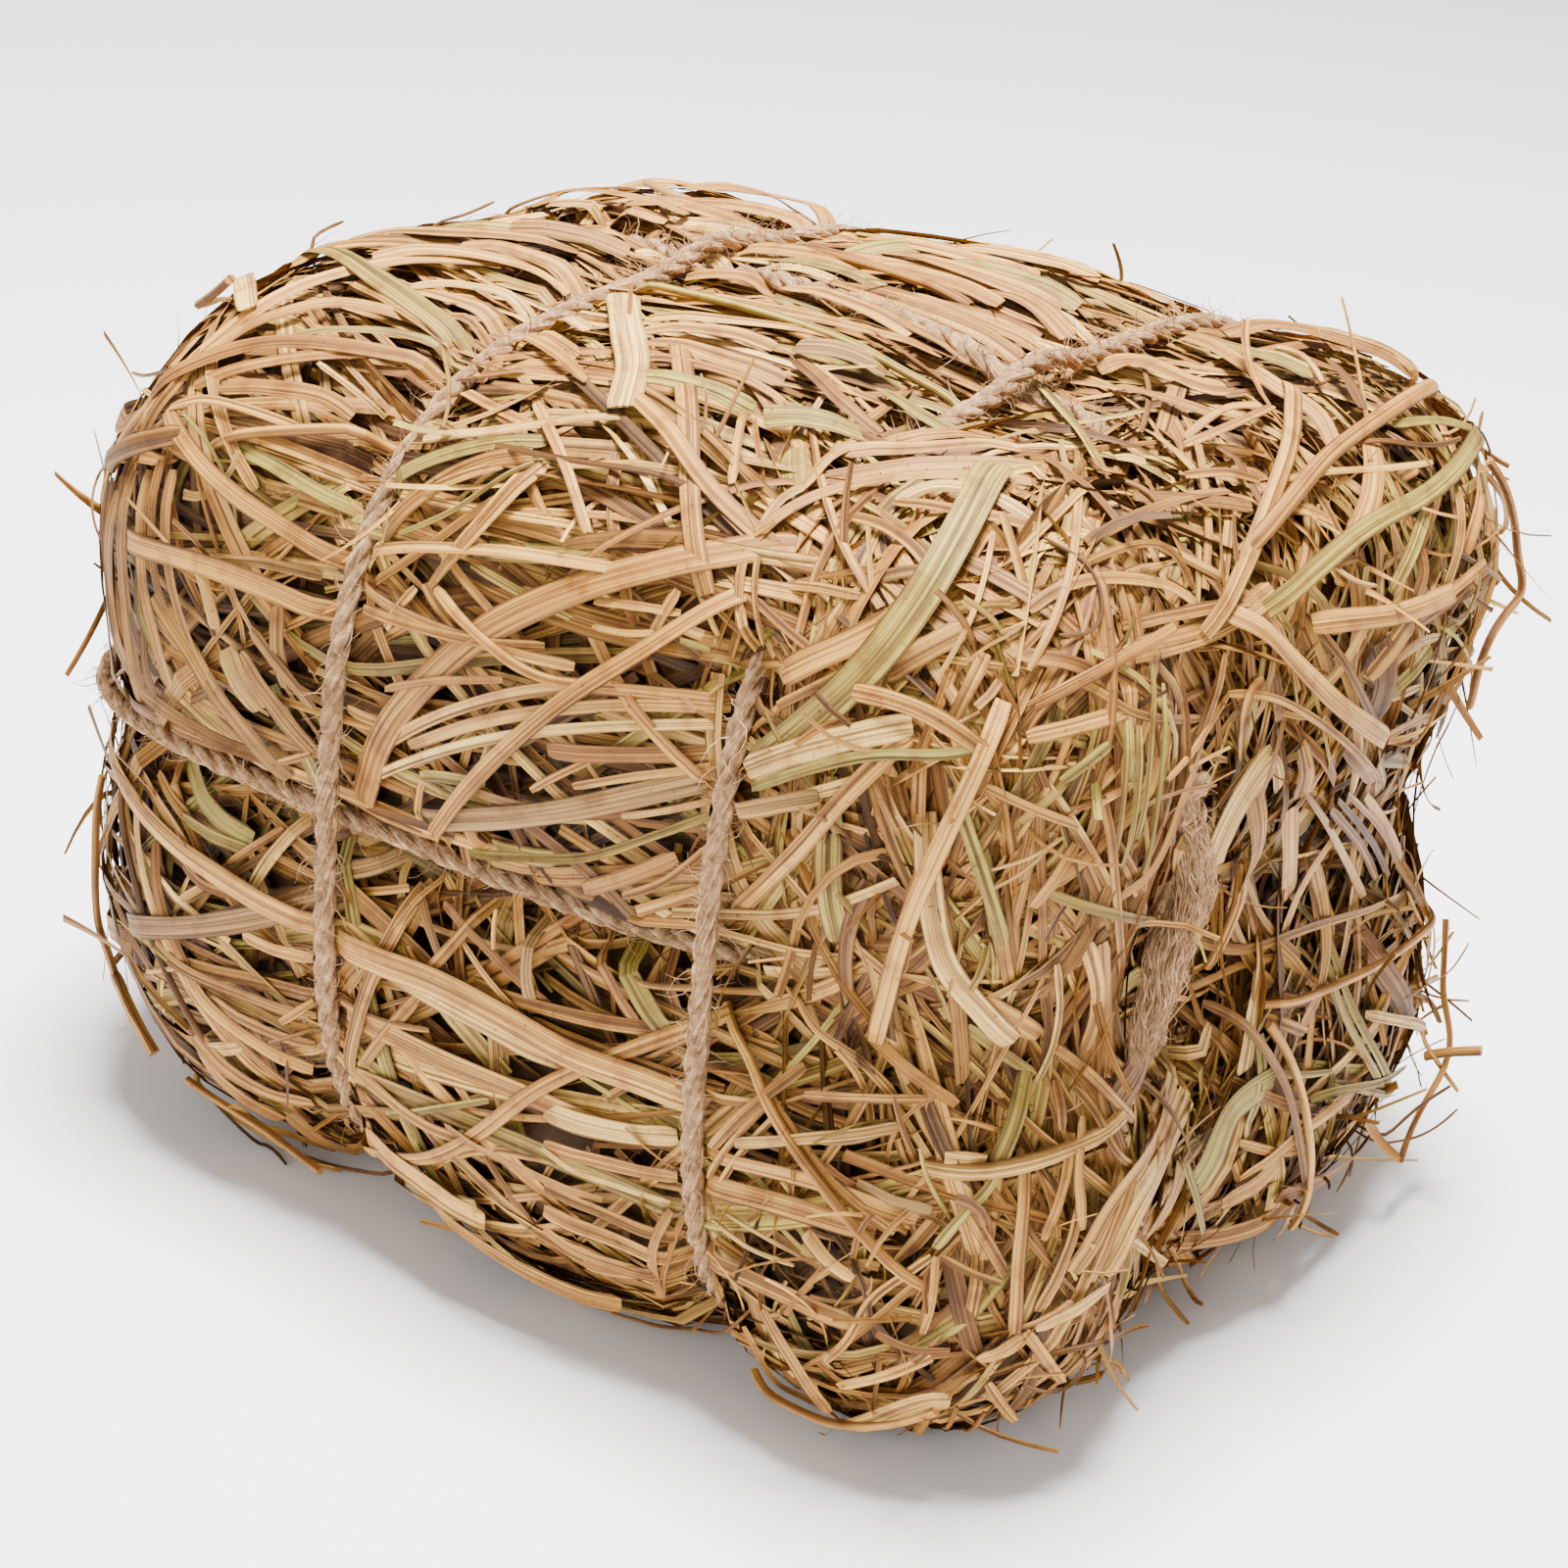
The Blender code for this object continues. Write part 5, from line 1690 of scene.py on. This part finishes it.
        ("pale", 8, (1395, 715), (1420, 705), (1440, 698)),
        ("tan", 14, (1140, 642), (1200, 631), (1248, 620), (1278, 614)),
        ("tan", 20, (1140, 672), (1200, 660), (1240, 642)),
        ("brown", 12, (1337, 645), (1356, 675), (1374, 709), (1393, 742), (1400, 775)),
        ("brown", 16, (1040, 671), (1088, 679), (1114, 690), (1137, 720)),
        ("gold", 18, (1129, 683), (1155, 701), (1185, 720)),
        ("tan", 10, (1088, 694), (1114, 705), (1133, 723), (1163, 735), (1215, 733)),
        ("tan", 13, (1047, 627), (1077, 605), (1129, 597), (1189, 608), (1211, 620)),
        ("tan", 9, (1077, 593), (1129, 571), (1174, 562), (1189, 579), (1209, 605)),
        ("tan", 9, (1096, 508), (1092, 538), (1088, 582), (1073, 634), (1062, 657), (1047, 686)),
        ("brown", 4, (1062, 556), (1088, 575), (1111, 593), (1118, 634), (1107, 658), (1077, 651)),
        ("tan", 6, (1012, 550), (1003, 600), (985, 650), (960, 690)),
        ("tan", 7, (1075, 560), (1100, 590), (1120, 605)),
        ("tan", 8, (1278, 694), (1255, 709), (1248, 742), (1255, 772)),
        ("tan", 14, (1233, 820), (1248, 787), (1278, 761), (1289, 779), (1293, 801)),
        ("tan", 14, (1315, 757), (1318, 783), (1315, 809)),
        ("tan", 9, (1240, 709), (1278, 709), (1315, 727), (1352, 749), (1397, 794)),
        ("gold", 5, (1240, 710), (1218, 735), (1196, 768), (1181, 794)),
        ("brown", 14, (1359, 761), (1374, 779), (1389, 794)),
        ("tan", 8, (1445, 727), (1404, 738), (1389, 757)),
        ("gold", 9, (1317, 802), (1339, 842), (1360, 882), (1379, 911)),
        ("brown", 9, (1345, 822), (1366, 850), (1392, 892)),
        ("brown", 7, (1352, 812), (1380, 850), (1404, 890)),
        ("brown", 6, (1362, 806), (1392, 842), (1412, 876)),
        ("tan", 9, (1380, 808), (1398, 840), (1416, 872)),
        ("tan", 8, (1208, 768), (1237, 772)),
        ("green", 6, (1144, 735), (1142, 768), (1148, 801)),
        ("green", 6, (1140, 735), (1135, 800), (1128, 870)),
        ("green", 6, (1152, 740), (1145, 820), (1135, 880)),
        ("green", 6, (1165, 680), (1158, 780), (1150, 850)),
        ("green", 5, (1175, 700), (1170, 780), (1160, 850), (1150, 900)),
        ("gold", 7, (1235, 670), (1205, 750), (1185, 820), (1160, 880), (1132, 908)),
        ("tan", 12, (1262, 800), (1262, 860), (1252, 900)),
        ("tan", 10, (1300, 820), (1292, 870), (1300, 910)),
        ("pale", 18, (1195, 935), (1205, 885), (1230, 830), (1256, 786), (1282, 766)),
    ],
    "cut_end_low": [
        ("brown", 14, (1250, 1100), (1290, 1120), (1340, 1130)),
        ("tan", 10, (1244, 926), (1255, 969), (1273, 991), (1291, 1002)),
        ("pale", 18, (1262, 1090), (1262, 1035), (1273, 984), (1277, 948)),
        ("green", 9, (1266, 1144), (1273, 1108), (1277, 1053)),
        ("tan", 14, (1291, 1013), (1328, 1020)),
        ("gold", 14, (1284, 1035), (1324, 1050)),
        ("green", 8, (1345, 950), (1360, 1013), (1392, 1071), (1419, 1119)),
        ("green", 7, (1339, 960), (1352, 1020), (1384, 1080), (1412, 1122)),
        ("green", 9, (1291, 1093), (1350, 1090)),
        ("green", 9, (1353, 1101), (1390, 1108), (1426, 1119)),
        ("green", 8, (1328, 1119), (1350, 1104), (1390, 1101), (1426, 1084)),
        ("green", 14, (1208, 1210), (1226, 1166), (1244, 1119), (1290, 1098)),
        ("tan", 7, (1331, 878), (1335, 926), (1339, 962), (1331, 1006), (1320, 1042)),
        ("gold", 5, (1222, 984), (1229, 955), (1244, 926), (1259, 875)),
        ("tan", 10, (1255, 1162), (1295, 1170), (1331, 1162)),
        ("tan", 10, (1368, 1115), (1331, 1133), (1295, 1162), (1255, 1199)),
        ("brown", 10, (1404, 1161), (1368, 1173), (1331, 1195), (1295, 1213)),
        ("tan", 10, (1295, 1181), (1266, 1199), (1237, 1221)),
        ("gold", 10, (1386, 1137), (1408, 1166), (1433, 1188)),
        ("pale", 12, (1382, 1031), (1404, 1035), (1444, 1042), (1460, 1052)),
        ("tan", 9, (1208, 955), (1244, 966), (1273, 958), (1317, 940), (1368, 926), (1415, 911)),
        ("tan", 8, (1215, 831), (1186, 846), (1180, 875), (1189, 911)),
        ("gold", 9, (1118, 809), (1124, 853), (1129, 926), (1131, 995)),
        ("brown", 12, (1160, 1010), (1150, 1060), (1128, 1120)),
        ("tan", 14, (1102, 955), (1109, 999), (1098, 1064)),
        ("tan", 12, (1117, 955), (1113, 1013), (1118, 1093)),
        ("pale", 10, (1113, 1290), (1135, 1232), (1164, 1181), (1186, 1130), (1208, 1090)),
        ("tan", 13, (1087, 1290), (1117, 1224), (1142, 1188), (1168, 1137), (1178, 1071)),
        ("tan", 9, (1157, 1254), (1178, 1210), (1193, 1181)),
        ("pale", 8, (1160, 1141), (1175, 1097), (1186, 1020)),
        ("pale", 7, (1220, 1040), (1195, 1090), (1170, 1150), (1160, 1180)),
        ("tan", 9, (1200, 1080), (1175, 1130), (1160, 1185)),
        ("pale", 7, (1188, 960), (1165, 1035)),
        ("tan", 9, (1087, 1101), (1106, 1122), (1117, 1159), (1138, 1184), (1153, 1186)),
        ("gold", 10, (1069, 1093), (1076, 1144)),
        ("tan", 10, (1095, 1130), (1087, 1181), (1095, 1246)),
        ("green", 10, (1193, 1177), (1200, 1210), (1215, 1246)),
        ("tan", 8, (1104, 1298), (1118, 1248), (1145, 1184)),
        ("brown", 7, (1211, 1017), (1244, 1031), (1273, 1068), (1295, 1108), (1306, 1159), (1331, 1258)),
    ],
    "fringe": [
        ("brown", 3, (128, 470), (104, 478), (92, 515), (104, 552), (126, 562)),
        ("tan", 4, (135, 380), (147, 390), (178, 382), (215, 365), (232, 356)),
        ("tan", 7, (205, 312), (224, 308), (246, 312)),
        ("brown", 4, (312, 246), (330, 234), (350, 226)),
        ("tan", 3, (362, 252), (384, 236), (404, 232), (424, 246)),
        ("brown", 4, (436, 242), (470, 222), (504, 206)),
        ("tan", 4, (512, 216), (560, 198), (610, 192), (650, 202)),
        ("brown", 5, (140, 676), (118, 690), (104, 712)),
        ("brown", 3, (118, 840), (104, 872), (100, 892)),
        ("tan", 6, (194, 1100), (240, 1140), (300, 1176), (324, 1192), (348, 1212)),
        ("brown", 4, (196, 1100), (246, 1152), (292, 1190)),
        ("brown", 5, (300, 1176), (340, 1190), (400, 1200)),
        ("brown", 4, (628, 1330), (673, 1343), (710, 1356), (748, 1352), (762, 1338)),
        ("tan", 6, (765, 1345), (792, 1396), (830, 1432), (852, 1440)),
        ("brown", 5, (975, 1425), (968, 1448), (962, 1462)),
        ("brown", 5, (1002, 1430), (992, 1450), (982, 1464)),
        ("brown", 6, (1000, 1397), (1059, 1375), (1118, 1361), (1172, 1352)),
        ("green", 7, (1131, 1325), (1145, 1280), (1140, 1252)),
        ("pale", 10, (1142, 1258), (1166, 1274), (1190, 1286)),
        ("tan", 5, (1186, 1262), (1204, 1300), (1226, 1338)),
        ("tan", 5, (1168, 1262), (1180, 1310), (1213, 1352)),
        ("tan", 6, (1180, 1256), (1176, 1290), (1168, 1328)),
        ("brown", 4, (1040, 1402), (1072, 1412), (1098, 1392), (1104, 1372)),
        ("brown", 5, (1313, 1225), (1340, 1246), (1366, 1260)),
        ("tan", 4, (1300, 1232), (1330, 1254), (1360, 1262)),
        ("brown", 3, (1384, 1172), (1376, 1198), (1364, 1216)),
        ("brown", 3, (1400, 1168), (1444, 1162), (1470, 1148), (1487, 1132)),
        ("grey", 2, (1426, 860), (1433, 900), (1448, 933), (1452, 962), (1442, 1006)),
        ("grey", 2, (1422, 1020), (1440, 1002), (1475, 998), (1499, 962)),
        ("brown", 6, (1430, 1010), (1458, 1020), (1470, 1044)),
        ("tan", 5, (1440, 1040), (1462, 1078), (1488, 1114)),
        ("brown", 4, (1408, 1166), (1446, 1130), (1480, 1108)),
        ("tan", 5, (1290, 330), (1304, 336), (1312, 348)),
        ("tan", 6, (1338, 352), (1366, 340), (1396, 358), (1424, 384), (1440, 392)),
        ("brown", 4, (1484, 462), (1500, 446), (1513, 420)),
        ("tan", 3, (1478, 444), (1500, 449), (1512, 450)),
        ("brown", 3, (1488, 440), (1506, 452), (1526, 474)),
        ("brown", 6, (1471, 564), (1501, 582), (1536, 597)),
        ("tan", 7, (1500, 488), (1520, 512), (1540, 545)),
        ("grey", 3, (1496, 590), (1484, 625), (1472, 640), (1462, 628)),
        ("green", 4, (1466, 640), (1486, 671), (1501, 714)),
        ("grey", 3, (1486, 640), (1470, 672), (1450, 690)),
        ("brown", 4, (1456, 700), (1440, 742), (1420, 762)),
        ("tan", 4, (1420, 905), (1436, 945), (1450, 958)),
    ],
}
# Regions painted paler than the rest where the light falls on them, or darker where they turn from it:
# painted light and shade
SEEN_SHADE = {
    "top_left": 1.06,
    "top_right": 1.12,
    "left_bundle": 0.66,
    "left_low": 0.94,
    "corner": 0.94,
    "cut_end_middle": 0.92,
    "cut_end_low": 0.90,
}
# How far apart the points of a blade are, and how large a millimetre looks at the bale's middle
SEEN_STEP_PIXELS = 9.0
PIXELS_PER_MM = 9.5
# Pixels under which a blade is swept as a round stem
STEM_PIXELS = 5.5
# How far over the straw the first blade of a region lies, in millimetres. Each later one lies a
# little higher, the last nearly one millimetre.
USUAL_HEIGHT = 0.8
SEEN_HEIGHT = {
    "top_front": 1.3,
    "corner_front": 3.0,
    "corner": 1.5,
    "below_corner": 1.5,
    "cut_end_top": 1.5,
    "cut_end_middle": 1.5,
    "cut_end_low": 1.5,
}
# In millimetres: how deep the foot of a free blade lies and how far the ends of another one dip,
# and over how many points they do
FREE_FOOT = 0.8
END_DIP = 0.7
DIP_POINTS = 4
# The height over the straw that a free blade keeps: below zero, so that it may dip into the straw
FREE_HEIGHT = -4 * MM
# How far from the camera the bale is looked for, nearest, farthest and step
LOOK_DEPTHS = (0.25, 0.52, 0.004)
# Each colour word: the record's slot and the tone within that slot's palette
SEEN_COLOURS = {
    "tan": ("dried_blade", 0.52),
    "gold": ("dried_blade", 0.40),
    "brown": ("dried_blade", 0.15),
    "stem": ("dried_blade", 0.44),
    "pale": ("pale_blade", 0.45),
    "green": ("greenish_blade", 0.60),
    "grey": ("weathered_blade", 0.60),
}


def beside_block(pixel_x, pixel_y):
    """Where the camera's ray through a pixel outside the block's outline passes nearest to it."""
    ray = ray_of(pixel_x, pixel_y)
    best = None
    for depth in np.arange(*LOOK_DEPTHS):
        point = CAMERA_AT + ray * float(depth)
        gap = STRAW.find_nearest(point)[3]
        if best is None or gap < best[0]:
            best = (gap, point)
    return best[1]


def blade_seen(strands, route, pixels, tone, shade, lift, is_free, rng):
    """A blade that covers its pixels of the photograph and lies on the straw behind them."""
    flat = spline_through([Vector((x, y, 0)) for x, y in route], SEEN_STEP_PIXELS)
    spots, lifts = [], []
    for pixel in flat:
        hit = seen_at(pixel.x, pixel.y)
        spots.append(hit or beside_block(pixel.x, pixel.y))
        lifts.append(lift if hit else 0.0)
    points = [spot + outward(spot) * height for spot, height in zip(spots, lifts)]
    points = eased(points, 3 if is_free else 6)
    if is_free:
        ends = [(STRAW.find_nearest(p)[0], p) for p in (points[0], points[-1])]
        foot = min(ends, key=lambda pair: (pair[0] - pair[1]).length)
        root = foot[0] - outward(foot[0]) * FREE_FOOT * MM
        points = [root, *points] if foot[1] is points[0] else [*points, root]
        lifts = [FREE_HEIGHT] * len(points)
    outs = [outward(p) for p in points]
    for n, point in enumerate(points):
        found = STRAW.find_nearest(point)[0]
        low = 0.75 * lifts[n] - (point - found).dot(outs[n])
        if low > 0:
            points[n] = point + outs[n] * low
    points = eased(points, 2)
    middle = len(points) // 2
    along = (points[middle] - points[middle - 1]).normalized()
    if is_free:
        width = pixels / PIXELS_PER_MM * MM
    else:
        width = real_width(points[middle], along, outs[middle], pixels)
        count = len(points)
        for n in range(count):
            near = min(n, count - 1 - n) / DIP_POINTS
            if near < 1:
                points[n] = points[n] - outs[n] * (1 - near) * END_DIP * MM
        points = eased([pressed_under_twines(p, out) for p, out in zip(points, outs)], 1)
    toward = [(CAMERA_AT - p).normalized() for p in points]
    share = 0.75 if is_free else 0.2
    tilt, twist = rng.normal(0, 0.12), rng.normal(0, 0.3)
    mixed = [out * (1 - share) + eye * share for out, eye in zip(outs, toward)]
    facing = facing_of(points, mixed, tilt, twist)
    look = (tone + rng.uniform(-0.07, 0.07), shade * math.exp(rng.normal(0.0, 0.08)), rng.uniform())
    u = np.linspace(0, 1, len(points))
    taper = np.clip(0.72 + np.minimum(u, 1 - u) * len(points) / 3, 0, 1)
    strands.add(points, facing, width * taper * (1 + 0.05 * np.sin(u * rng.uniform(6, 18))), look)


def make_seen():
    rng = np.random.default_rng(1966)
    for region, routes in SEEN.items():
        heaps = {}
        for n, (word, pixels, *route) in enumerate(routes):
            slot, tone = SEEN_COLOURS[word]
            lift = (SEEN_HEIGHT.get(region, USUAL_HEIGHT) + n / len(routes)) * MM
            kind = "stem" if word == "stem" or pixels < STEM_PIXELS else slot
            heap = heaps.setdefault((kind, slot), Strands())
            shade = SEEN_SHADE.get(region, 1.0)
            blade_seen(heap, route, pixels, tone, shade, lift, region == "fringe", rng)
        for (kind, slot), heap in heaps.items():
            name = "seen_" + region + "_" + slot
            if kind == "stem":
                sweep(name + "_stems", heap, slot, 8, 0.7, 0.0)
            else:
                sweep(name, heap, slot, 8, 0.09, 0.12)


# Floor and light
def make_floor():
    data = bpy.data.meshes.new("floor")
    reach = 1.6
    corners = [(-reach, -reach, 0), (reach, -reach, 0), (reach, reach, 0), (-reach, reach, 0)]
    data.from_pydata(corners, [], [(0, 1, 2, 3)])
    data.materials.append(Shader("pale floor").coat((0.93, 0.93, 0.93, 1), 0.9))
    floor = linked("floor", data)


def add_light(name, at, aim, size, power):
    data = bpy.data.lights.new(name, "AREA")
    data.shape = "DISK"
    data.size = size
    data.energy = power
    light = linked(name, data)
    light.location = at
    light.rotation_euler = (Vector(aim) - Vector(at)).to_track_quat("-Z", "Y").to_euler()


def make_light():
    world = bpy.data.worlds.new("soft studio")
    world.use_nodes = True
    background = world.node_tree.nodes["Background"]
    background.inputs["Color"].default_value = (1.0, 1.0, 1.0, 1)
    background.inputs["Strength"].default_value = 0.62
    bpy.context.scene.world = world
    middle = (0, 0, 0.05)
    add_light("key_light", (0.02, 0.0, 0.80), middle, 0.30, 34.0)
    add_light("fill_light", (0.20, -0.90, 0.40), middle, 0.6, 4.0)


make_camera()
make_floor()
make_light()
make_shadow_bed()
make_twines()
make_knot()
make_tail()
LOOSE_RNG = np.random.default_rng(58)
for node_name in sorted(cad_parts):
    if node_name.startswith(("blade", "stem", "strand")):
        make_loose(node_name, LOOSE_RNG)
make_packed()
make_jumbles()
make_sprigs()
make_seen()
